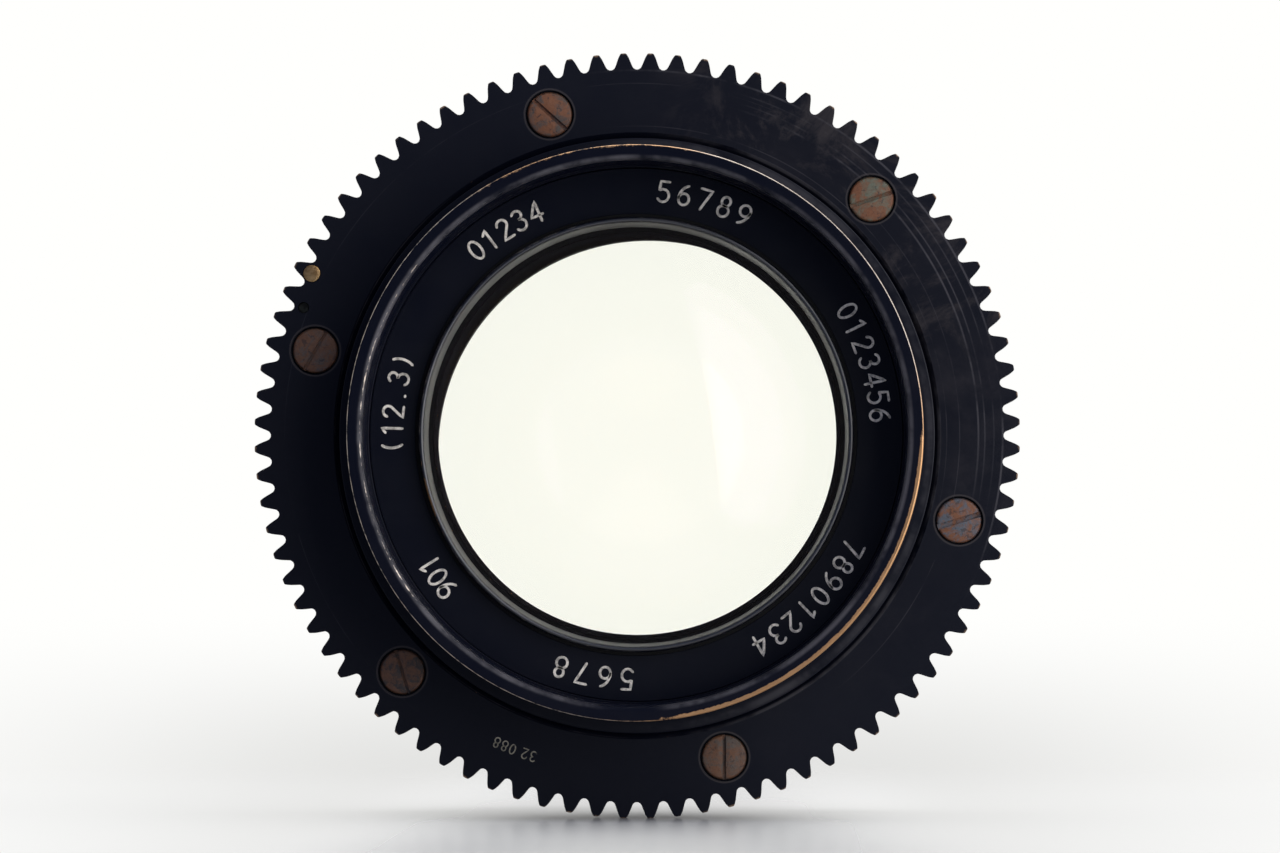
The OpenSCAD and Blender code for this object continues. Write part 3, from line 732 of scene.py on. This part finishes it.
# ---------------------------------------------------------------- front group
def make_front_rim():
    z, r = RIM["front"], RIM["r"]
    outer, inner = r - 0.04, r - 0.12
    edges = [
        (outer, z - 0.05, 0.15, 0.80, (20, 60, 25)), (outer, z - 0.05, 0.15, 0.60),
        (inner, z, 0.55, 0.95, (-42, 34, 16)), (inner, z, 0.35, 0.45, (100, 20, 14)),
        (25.30, z - 0.08, 0.24, 0.52, (180, 34, 16)), (25.42, z - 0.04, 0.2, 0.25),
    ]
    # its single ring is a painted sheen: a grey band on the rim's inner chamfer where it catches the light
    black = black_finish(
        "rim_black", edges, rim_warmth, dust=0.4, rough=0.30, lines=0.8, gloss=0.12,
        rings=[(25.33, 0.40, 0.75, (90, 170, 9))],
    )
    bore_r, bore_back = 25.1, 43.4
    head_back = z - 2.9
    points = [
        (23.0, RIM["back"]), (25.75, RIM["back"]), (25.75, head_back), (inner, head_back),
        (r, head_back + 0.12), (r, z - 0.10), (r - 0.10, z), (25.55, z), (25.30, z - 0.10),
        (bore_r + 0.02, z - 0.42),
        (bore_r, bore_back), (24.8, bore_back), (24.8, 40.8), (23.0, 40.8),
    ]
    lathe("rim_ring", points, black, "lens_barrel", "black_finish", ("front_rim",), segments=360, edge=0.05)
    thread = black_finish("thread_black", dust=0.4, rough=0.30, lines=0.05)
    pitch, start = 0.5, bore_back + 0.2
    turns = int((z - 0.9 - start) / pitch)
    end = start + turns * pitch
    outline = []
    for i in range(turns):
        z0 = start + i * pitch
        outline += [(bore_r + 0.02, z0), (bore_r - 0.12, z0 + pitch / 2)]
    outline += [(bore_r + 0.02, end), (25.3, end), (25.3, start)]
    lathe("rim_thread", outline, thread, "lens_barrel", "black_finish", edge=0.03)


def make_name_ring():
    back, z = NAME["back"], NAME["front"]
    inner, outer = 20.5, 24.75
    black = black_finish("name_black", [(inner + 0.05, z, 0.15, 0.25)], dust=0.12, rough=0.30, lines=0.10)
    points = [(inner, back), (inner, z), (outer, z), (outer, back)]
    lathe("name_face", points, black, "lens_barrel", "black_finish", ("name_ring",), segments=360, edge=0.05)


def make_front_retainer():
    back, z = RETAINER["back"], RETAINER["front"]
    outer = 20.2
    nick = -163
    edges = [
        (20.1, z - 0.08, 0.22, 0.50, (170, 60, 40)), (20.1, z - 0.08, 0.20, 0.38),
        (19.78, z - 0.05, 0.16, 0.30), (20.12, z - 0.08, 0.34, 0.9, (nick, 4, 3)),
    ]
    black = black_finish(
        "retainer_black", edges, lambda n: n.sector(nick, 8, 4), dust=1.0, rough=0.30, lines=0.35, gloss=1.0
    )
    points = [
        (19.4, back), (19.55, z - 2.6), (19.68, z - 0.5), (19.78, z - 0.06), (19.92, z), (20.10, z - 0.05),
        (outer, z - 0.35), (outer, back),
    ]
    lathe(
        "retainer_ring", points, black, "lens_barrel", "black_finish", ("front_retainer",), segments=360,
        edge=0.04,
    )


def surface_z(vertex, curve, r):
    """z on a glass surface of radius curve; positive bulges towards the front."""
    size = abs(curve)
    sag = size - math.sqrt(size ** 2 - r ** 2)
    return vertex - sag if curve > 0 else vertex + sag


def glass_mesh(name, front, rear, front_r, rear_r):
    """A lens blank: front and rear are (vertex, curve), each polished out to its own radius."""
    steps = 40
    edge_r = max(front_r, rear_r)
    outline = [(front_r * i / steps, surface_z(*front, front_r * i / steps)) for i in range(steps + 1)]
    tail = [(rear_r * i / steps, surface_z(*rear, rear_r * i / steps)) for i in range(steps, -1, -1)]
    if edge_r > front_r:
        outline.append((edge_r, outline[-1][1]))
    if edge_r > rear_r:
        outline.append((edge_r, tail[0][1]))
    mesh = lathe_mesh(name, outline + tail, segments=192, edge=0)
    middle = (front[0] + rear[0]) / 2
    for face in mesh.polygons:
        limit = front_r if -face.center.y / MM > middle else rear_r
        face.material_index = int(math.hypot(face.center.x, face.center.z) / MM > limit - 0.02)
    return mesh


def make_glass():
    v = FRONT_VERTEX
    clear = coated_glass("glass_clear", (1.0, 0.989, 0.962))
    ground = matt_black("glass_edge_black", 0.0016)
    plan = [
        ("glass_front", (v, 42.37), (v - 6.60, 114.8), 19.75, 19.75, ("front_element",)),
        ("glass_front_pair", (v - 6.97, 28.41), (v - 19.26, 18.27), 18.25, 13.75,
         ("front_doublet_crown", "front_doublet_flint")),
        ("glass_rear_pair", (v - 41.96, -21.39), (v - 53.12, -28.59), 12.8, 15.35,
         ("rear_doublet_flint", "rear_doublet_crown")),
        ("glass_rear", (v - 53.49, 133.7), (v - 58.77, -59.9), 15.35, 15.35, ("rear_element",)),
    ]
    for name, front, rear, front_r, rear_r, nodes in plan:
        mesh = glass_mesh(name, front, rear, front_r, rear_r)
        new_object(name, mesh, clear, "lens_barrel", nodes)
        mesh.materials.append(ground)


# ---------------------------------------------------------------- engraving
def arc(cx, cy, rx, ry, start, end, steps=10):
    return [
        (cx + rx * math.cos(math.radians(start + (end - start) * i / steps)),
         cy + ry * math.sin(math.radians(start + (end - start) * i / steps)))
        for i in range(steps + 1)
    ]


# single-stroke figures in a cell 0.6 wide and 1 high
STROKES = {
    "0": [arc(0.3, 0.5, 0.25, 0.48, 0, 360, 20)],
    "1": [[(0.12, 0.82), (0.32, 1.0), (0.32, 0.0)]],
    "2": [arc(0.3, 0.73, 0.24, 0.25, 170, -40) + [(0.05, 0.0), (0.57, 0.0)]],
    "3": [arc(0.28, 0.76, 0.22, 0.22, 150, -90) + arc(0.28, 0.27, 0.27, 0.27, 90, -150)],
    "4": [[(0.46, 0.0), (0.46, 1.0), (0.04, 0.30), (0.62, 0.30)]],
    "5": [[(0.52, 1.0), (0.14, 1.0), (0.10, 0.56)] + arc(0.28, 0.32, 0.28, 0.31, 125, -145)],
    "6": [arc(0.3, 0.29, 0.25, 0.28, 0, 360, 16), arc(0.62, 0.30, 0.57, 0.70, 180, 110, 8)],
    "7": [[(0.05, 1.0), (0.56, 1.0), (0.20, 0.0)]],
    "8": [arc(0.3, 0.75, 0.20, 0.23, 0, 360, 16), arc(0.3, 0.27, 0.26, 0.27, 0, 360, 16)],
    "9": [arc(0.3, 0.71, 0.25, 0.28, 0, 360, 16), arc(-0.02, 0.70, 0.57, 0.70, 0, -70, 8)],
    "(": [arc(0.55, 0.5, 0.35, 0.62, 130, 230, 8)],
    ")": [arc(0.05, 0.5, 0.35, 0.62, 50, -50, 8)],
    ".": [[(0.28, 0.02), (0.32, 0.02)]],
}


def stroke_ribbon(bm, points, to_place, half, lift):
    """A flat-topped ribbon with sloping sides along a stroke; to_place maps (u, v, height) to the frame."""
    dense = []
    for a, b in zip(points, points[1:]):
        parts = max(1, int(math.dist(a, b) / 0.25))
        dense += [tuple(a[k] + (b[k] - a[k]) * i / parts for k in (0, 1)) for i in range(parts)]
    dense.append(points[-1])
    closed = math.dist(points[0], points[-1]) < 1e-6
    if closed:
        dense = dense[:-1]
    count = len(dense)
    sections = []
    for i, p in enumerate(dense):
        before = dense[i - 1] if (closed or i > 0) else p
        after = dense[(i + 1) % count] if (closed or i < count - 1) else p
        du, dv = after[0] - before[0], after[1] - before[1]
        size = math.hypot(du, dv) or 1.0
        sections.append((p, (-dv / size, du / size)))
    if not closed:
        for end, sign in ((0, -1), (-1, 1)):
            p, side = sections[end]
            tangent = (side[1] * sign, -side[0] * sign)
            cap = ((p[0] + tangent[0] * half * 0.8, p[1] + tangent[1] * half * 0.8), side)
            sections.insert(0 if end == 0 else len(sections), cap)
    shape = [(-1.0, -0.02), (-0.72, lift), (0.72, lift), (1.0, -0.02)]
    rows = []
    for i, (p, side) in enumerate(sections):
        narrow = 0.45 if (not closed and i in (0, len(sections) - 1)) else 1.0
        rows.append([
            bm.verts.new(to_place(p[0] + side[0] * half * s * narrow, p[1] + side[1] * half * s * narrow, h))
            for s, h in shape
        ])
    pairs = list(zip(rows, rows[1:]))
    if closed:
        pairs.append((rows[-1], rows[0]))
    for one, two in pairs:
        for k in range(3):
            bm.faces.new((one[k], one[k + 1], two[k + 1], two[k]))
    if not closed:
        bm.faces.new(rows[0][::-1])
        bm.faces.new(rows[-1])


def write_mark(bm, mark, height, to_place, half, lift):
    for points in STROKES[mark]:
        stroke_ribbon(bm, [(u * height, v * height) for u, v in points], to_place, half, lift)


def face_writing(name, groups, base_r, height, z, material, body, stroke, lift=0.012):
    """Figures around the axis on a face that looks out of the front, tops outwards.

    groups are (text, angle where it starts, degrees from one figure to the next).
    """
    bm = bmesh.new()
    for text, start, advance in groups:
        for i, mark in enumerate(text):
            middle = start - advance * (i + 0.5)

            def to_place(u, v, h, middle=middle):
                return polar(base_r + v, middle - math.degrees((u - 0.3 * height) / base_r), z + h)

            write_mark(bm, mark, height, to_place, stroke / 2, lift)
    new_object(name, finish_mesh(bm, name, 50), material, body)


def band_writing(name, groups, ticks, r, z, height, material, body, stroke):
    """Figures and ticks around a cylinder, tops towards the front.

    groups are (text, angle of its middle), and ticks are (angle, back z, front z).
    """
    lift = 0.012
    bm = bmesh.new()
    for text, angle in groups:
        for i, mark in enumerate(text):
            offset = (i - (len(text) - 1) / 2) * 0.78 * height

            def to_place(u, v, h, angle=angle, offset=offset):
                return polar(r + h, angle + math.degrees((u - 0.3 * height + offset) / r), z + v)

            write_mark(bm, mark, height, to_place, stroke / 2, lift)
    for angle, z0, z1 in ticks:

        def to_place(u, v, h, angle=angle):
            return polar(r + h, angle + math.degrees(u / r), v)

        stroke_ribbon(bm, [(0, z0), (0, z1)], to_place, stroke / 2, lift)
    new_object(name, finish_mesh(bm, name, 50), material, body)


def make_engraving():
    ink = paint("engraving_fill", (0.95, 0.88, 0.78))
    groups = [
        ("01234", 133.0, 4.1),
        ("56789", 86.0, 4.9),
        ("0123456", 32.5, 4.3),
        ("78901234", -25.5, 4.5),
        ("5678", -89.5, 5.3),
        ("901", -139.0, 3.6),
        ("(12.3)", -175.4, 4.0),
    ]
    face_writing("name_figures", groups, 21.75, 1.92, NAME["front"], ink, "lens_barrel", 0.29)
    faint = paint("gear_mark_fill", (0.34, 0.31, 0.24), worn_away=True)
    groups = [("32", -107.2, 1.45), ("088", -110.9, 1.45)]
    face_writing("gear_figures", groups, 31.0, 0.95, GEAR["front"], faint, "focus_ring", 0.15, lift=0.008)


# ---------------------------------------------------------------- rest of the outside
def fluted(base_r, depth, count):
    """Gives lathe_mesh a wobble that cuts rounded flutes all round."""
    def wobble(angle, r, z):
        if r < base_r - 0.02:
            return r
        wave = math.cos(math.radians(angle * count))
        return r - depth * math.sqrt(max(0.0, wave - 0.1) / 0.9)
    return wobble


def knurl(base_r, z0, z1, depth, count):
    """Gives lathe_mesh a wobble that cuts straight V grooves between z0 and z1."""
    def wobble(angle, r, z):
        if r < base_r - 0.15 or z < z0 or z > z1 + 0.01:
            return r
        share = (angle * count / 360) % 1.0
        ridge = abs(share - 0.5) * 2
        return r - depth * max(0.0, ridge - 0.35) / 0.65
    return wobble


def make_focus_sleeve():
    back, front = SLEEVE["back"], SLEEVE["front"]
    journal_r, nut_r, nut_back = 28.05, 25.45, 24.6
    gear_seat, shoulder_r = GEAR["back"], 33.6
    shoulder_back = gear_seat - 3.0
    grip_back, grip_front = 19.0, 29.8
    edges = [
        (shoulder_r, shoulder_back, 0.22, 0.42), (shoulder_r, gear_seat, 0.15, 0.30),
        (SLEEVE_R, back, 0.22, 0.45), (SLEEVE_R, grip_back, 0.18, 0.38), (GEAR_BORE_R, front, 0.16, 0.30),
    ]
    # its single ring is a painted sheen on the sleeve's front face, on the right
    black = black_finish(
        "sleeve_black", edges, lambda n: 0.75, dust=0.55, rough=0.34, lines=0.25,
        rings=[(27.35, 0.50, 0.34, (5, 65, 40))],
    )
    points = [
        (journal_r, back), (SLEEVE_R, back), (SLEEVE_R, grip_back), (30.8, grip_back + 0.2),
        (30.8, grip_front - 0.2), (SLEEVE_R - 0.5, grip_front), (SLEEVE_R - 0.5, shoulder_back),
        (shoulder_r, shoulder_back), (shoulder_r, gear_seat), (GEAR_BORE_R, gear_seat), (GEAR_BORE_R, front),
        (nut_r, front), (nut_r, nut_back), (journal_r, nut_back),
    ]
    lathe(
        "sleeve_tube", points, black, "focus_ring", "black_finish", ("focus_sleeve",), segments=360, edge=0.12
    )
    low, high = grip_back + 1.0, grip_front - 0.8
    inner, outer = 30.6, 31.9
    grip_edges = [(outer, low, 0.3, 0.42), (outer, high, 0.3, 0.42)]
    grip_black = black_finish("grip_black", grip_edges, lambda n: 0.8, dust=0.6, rough=0.38, lines=0.05)
    grip = [(inner, low), (outer, low), (outer, high), (inner, high)]
    lathe(
        "sleeve_grip", grip, grip_black, "focus_ring", "black_finish", segments=960, edge=0.25,
        wobble=fluted(outer - 0.5, 0.7, 60),
    )


def make_distance_scale():
    start, tick_back = 90, 8.0
    marks = [
        ("3", 0), ("3.5", -38), ("4", -70), ("5", -112), ("6", -142), ("8", -176), ("10", -199), ("15", -225),
        ("25", -246), ("50", -262),
    ]
    between = (10, 19, 28, 54, 62, 84, 98, 122, 132, 150, 159, 168, 184, 192, 212, 236, 254)
    groups = [(text, start + angle) for text, angle in marks]
    ticks = [(angle, tick_back, tick_back + 2.4) for _, angle in groups]
    ticks += [(start - angle, tick_back, tick_back + 1.2) for angle in between]
    ink = paint("scale_fill", INK)
    band_writing("distance_figures", groups, ticks, SLEEVE_R, 11.6, 2.1, ink, "focus_ring", 0.24)


def make_iris_ring():
    back, front, r = IRIS["back"], IRIS["front"], IRIS["r"]
    inner, groove_r = 25.8, r - 0.22
    edges = [(r, front, 0.25, 0.45), (r, back, 0.2, 0.35)]
    black = black_finish("iris_black", edges, lambda n: 0.7, dust=0.55, rough=0.36, lines=0.08)
    points = [
        (inner, back), (r, back), (r, 41.3), (groove_r, 41.45), (groove_r, 42.0), (r, 42.2), (r, front),
        (inner, front),
    ]
    lathe(
        "iris_band", points, black, "iris_control", "black_finish", ("iris_ring",), segments=1080, edge=0.08,
        wobble=knurl(r, 42.1, front, 0.24, 90),
    )
    ink = paint("iris_scale_fill", INK)
    stops = ["2", "2.8", "4", "5.6", "8", "11"]
    turn = 65.5
    groups = [(text, 90 - turn * i / (len(stops) - 1)) for i, text in enumerate(stops)]
    ticks = [(angle, 40.6, 41.2) for _, angle in groups]
    band_writing("iris_figures", groups, ticks, r, 38.75, 1.5, ink, "iris_control", 0.17)


def make_mount():
    flange_edges = [(FLANGE_R, 0.0, 0.25, 0.5), (FLANGE_R, 4.0, 0.25, 0.45), (22.0, -9.0, 0.3, 0.62)]
    black = black_finish("flange_black", flange_edges, lambda n: 0.8, dust=0.6, rough=0.32, lines=0.30)
    refined("mount_flange", "flange_plate", black, "mount", 0.18)
    body_edges = [(SLEEVE_R, 7.0, 0.2, 0.4)]
    body_black = black_finish("body_black", body_edges, lambda n: 0.8, dust=0.5, rough=0.34, lines=0.2)
    refined("mount_body", "body_tube", body_black, "mount", 0.12)
    brown = screw_metal("mount_screw_metal", (0.13, 0.07, 0.045), (0.12, 0.10, 0.08), 0.5)
    refined("mount_screws", "flange_screws", brown, "mount", 0.08)
    brass = bare_metal("mount_brass", PIN_BRASS, DARK_BRASS, 0.34)
    refined("locating_pin", "location_pin", brass, "mount", 0.15)
    refined("focus_index", "index_pin", brass, "mount", 0.08)


def make_rear_cell():
    back, seat_r = -17.2, 15.45
    edges = [(17.0, back, 0.3, 0.5), (seat_r - 0.05, back, 0.2, 0.4)]
    black = black_finish("rear_black", edges, lambda n: 0.7, dust=0.4, rough=0.32, lines=0.25)
    points = [
        (seat_r, back), (17.0, back), (17.0, 3.4), (18.2, 3.4), (18.2, 4.4), (17.4, 4.4), (17.4, 9.1),
        (12.9, 9.1), (12.9, 5.31), (seat_r, 5.31),
    ]
    lathe("rear_tube", points, black, "lens_barrel", "black_finish", ("rear_cell",), edge=0.15)
    edges = [(14.95, back + 0.3, 0.2, 0.35)]
    black = black_finish("rear_ring_black", edges, lambda n: 0.3, dust=0.4, rough=0.30, lines=0.2)
    points = [(14.9, -14.45), (14.9, -16.6), (15.1, -17.0), (15.4, -17.0), (15.4, -14.45)]
    lathe("rear_ring", points, black, "lens_barrel", "black_finish", ("rear_retainer",), edge=0.08)


def dress(material, *nodes):
    for node in nodes:
        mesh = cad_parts[node].data
        mesh.materials.clear()
        mesh.materials.append(material)


def dress_inside():
    """Materials for the CAD nodes that stay as they are."""
    dress(matt_black("inside_black"), "front_cell", "front_spacer", "doublet_retainer", "iris_housing",
          "rear_spacer", "iris_drive_tube", "iris_cam_ring")
    dress(black_finish("barrel_black", dust=0.2, rough=0.35, lines=0.2), "barrel_tube")
    brass = bare_metal("inside_brass", PIN_BRASS, DARK_BRASS, 0.36)
    dress(brass, "guide_key", "iris_housing_screws", "iris_drive_pin")
    steel = bare_metal("inside_steel", (0.30, 0.29, 0.27), (0.12, 0.11, 0.10), 0.42)
    dress(steel, "sleeve_guide_screws", "focus_stop_pin")
    dress(paint("index_fill", (0.70, 0.68, 0.62)), "iris_index")
    blued = bare_metal("blade_blued", (0.020, 0.020, 0.024), (0.008, 0.008, 0.010), 0.45, 300.0)
    dress(blued, *(f"iris_blade_{k + 1}" for k in range(9)))


# ---------------------------------------------------------------- stage, light, camera
def make_floor(level):
    """A patch of pale table under the lens that fades out all round it.

    Its colour is darker under and behind the lens: a painted shadow of the lens.
    """
    size = 3.0
    corners = ((-size, -size), (size, -size), (size, size), (-size, size))
    bm = bmesh.new()
    bm.faces.new([bm.verts.new((x, y, level)) for x, y in corners])
    mesh = bpy.data.meshes.new("floor")
    bm.to_mesh(mesh)
    bm.free()
    n = Nodes("floor_pale")
    off_axis = n.math("ABSOLUTE", n.x)
    # painted shadow: the table's colour made darker under and behind the lens
    painted_shadow = n.times(n.step(off_axis, 0.006, 0.028, 1.0, 0.0), n.step(n.depth, -0.060, -0.035))
    painted_shadow = n.times(painted_shadow, n.step(n.depth, 0.10, 0.40, 1.0, 0.0))
    pale = n.mix(n.noise(3.0, 3.0), (0.61, 0.61, 0.615), (0.65, 0.65, 0.65))
    n.set(Base_Color=n.mix(painted_shadow, pale, (0.32, 0.315, 0.32)))
    n.set(Roughness=n.blend(n.noise(6.0, 2.0), 0.22, 0.26))
    # the table is seen only close to the lens and fades into the white world elsewhere, which leaves a soft
    # grey patch round the lens: a painted shade, besides the real shadows on it
    beside = n.step(off_axis, 0.008, 0.034, 1.0, 0.22)
    behind = n.step(n.depth, 0.02, 0.26, 1.0, 0.0)
    before = n.step(n.depth, -0.50, -0.15, 0.0, 1.0)
    n.set(Alpha=n.times(beside, n.times(behind, before)))
    mesh.materials.append(n.material)
    floor = bpy.data.objects.new("floor", mesh)
    bpy.context.scene.collection.objects.link(floor)


# the direction's y between which the world turns from the dim room in front to full light
WORLD_FRONT = (-0.74, -0.12)
WORLD_DIM = 0.20
# x of the direction in which the painted grey below the horizon is deepest, in line with the lens, where it
# stands for the lens's shadow on the table
PAINTED_SHADOW_X = -0.0157
# how much brighter the world is for light that comes through the glass
THROUGH_EXTRA = 0.115


def make_world():
    """White for what is seen directly, with a faint grey fall-off below the horizon: a painted shade of the
    table, deepest in line with the lens, where it is a painted shadow of the lens.

    What is seen through the glass is a little brighter, and white only behind the lens. Reflections and
    diffuse light come from a bright back and top, and from a dim blue room in front.
    """
    world = bpy.data.worlds.new("studio")
    bpy.context.scene.world = world
    world.use_nodes = True
    g = Graph(world.node_tree)
    coords = g.tree.nodes.new("ShaderNodeTexCoord")
    path = g.tree.nodes.new("ShaderNodeLightPath")
    camera = path.outputs["Is Camera Ray"]
    x, y, z = g.split(coords.outputs["Generated"])

    lit = g.step(y, *WORLD_FRONT, WORLD_DIM, 1.0)
    overhead = g.add(g.add(g.times(x, -0.10), g.times(z, 0.28)), 0.52, clamp=True)
    backlight = g.times(g.add(y, -0.2, clamp=True), 1.2)
    glow = g.times(lit, g.add(overhead, backlight, clamp=True))

    through = g.times(path.outputs["Is Transmission Ray"], lit)
    seen = g.math("MAXIMUM", camera, through)
    # painted shade for what is seen directly: grey below the horizon, deepest in line with the lens as a
    # painted shadow of it
    below = g.step(z, -0.019, 0.001, 1.0, 0.0)
    beside = g.step(g.distance(x, PAINTED_SHADOW_X), 0.022, 0.085, 0.23, 0.07)
    painted_shade_below = g.times(g.times(below, beside), camera)
    bright = g.add(g.math("MAXIMUM", seen, glow), g.times(through, THROUGH_EXTRA))

    background = g.tree.nodes.new("ShaderNodeBackground")
    tint = g.mix(g.math("MAXIMUM", seen, lit), (0.55, 0.78, 1.7), (1.0, 1.0, 0.985))
    g.link(tint, background.inputs["Color"])
    g.link(g.math("SUBTRACT", bright, painted_shade_below), background.inputs["Strength"])
    output = g.tree.nodes.new("ShaderNodeOutputWorld")
    g.link(background.outputs[0], output.inputs[0])


def aim(thing, position, target):
    thing.location = position
    thing.rotation_euler = (Vector(target) - Vector(position)).to_track_quat("-Z", "Y").to_euler()
    bpy.context.scene.collection.objects.link(thing)


def area_light(name, position, size, power):
    data = bpy.data.lights.new(name, "AREA")
    data.shape = "RECTANGLE"
    data.size, data.size_y = size
    data.energy = power
    aim(bpy.data.objects.new(name, data), position, MIDDLE)


def make_lights():
    area_light("top_softbox", (0.10, 0.40, 1.0), (1.0, 0.8), 8.0)
    area_light("side_softbox", (0.74, -0.56, 0.20), (1.35, 1.30), 15.0)


# the camera's distance in metres, and how far it stands beside and below the axis in degrees
DISTANCE = 0.80
RIGHT_OF_AXIS = 0.9
BELOW_AXIS = 1.2
# the gear's share of the picture's width, and how far its middle lies from the picture's, as such shares
GEAR_SHARE = 0.5984
GEAR_X = -0.0024
GEAR_Y = -0.0070
SENSOR = 36.0


def make_camera():
    """A long lens a little to the right of the axis and below it."""
    width = 2 * GEAR_TIP_R * MM / GEAR_SHARE
    data = bpy.data.cameras.new("camera")
    data.sensor_width = SENSOR
    data.lens = SENSOR * DISTANCE / width
    data.clip_start = 0.05
    right = math.tan(math.radians(RIGHT_OF_AXIS))
    down = math.tan(math.radians(BELOW_AXIS))
    camera = bpy.data.objects.new("camera", data)
    stand = MIDDLE + Vector((right, -1.0, -down)) * DISTANCE
    aim(camera, stand, MIDDLE - Vector((GEAR_X, 0.0, GEAR_Y)) * width)
    bpy.context.scene.camera = camera


# ---------------------------------------------------------------- build
make_gear()
make_gear_screws()
make_gear_pins()
make_front_rim()
make_name_ring()
make_front_retainer()
make_glass()
make_engraving()
make_focus_sleeve()
make_distance_scale()
make_iris_ring()
make_mount()
make_rear_cell()
dress_inside()
make_floor(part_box("focus_gear")[0][2])
make_world()
make_lights()
make_camera()
bpy.context.scene.view_settings.view_transform = "Standard"
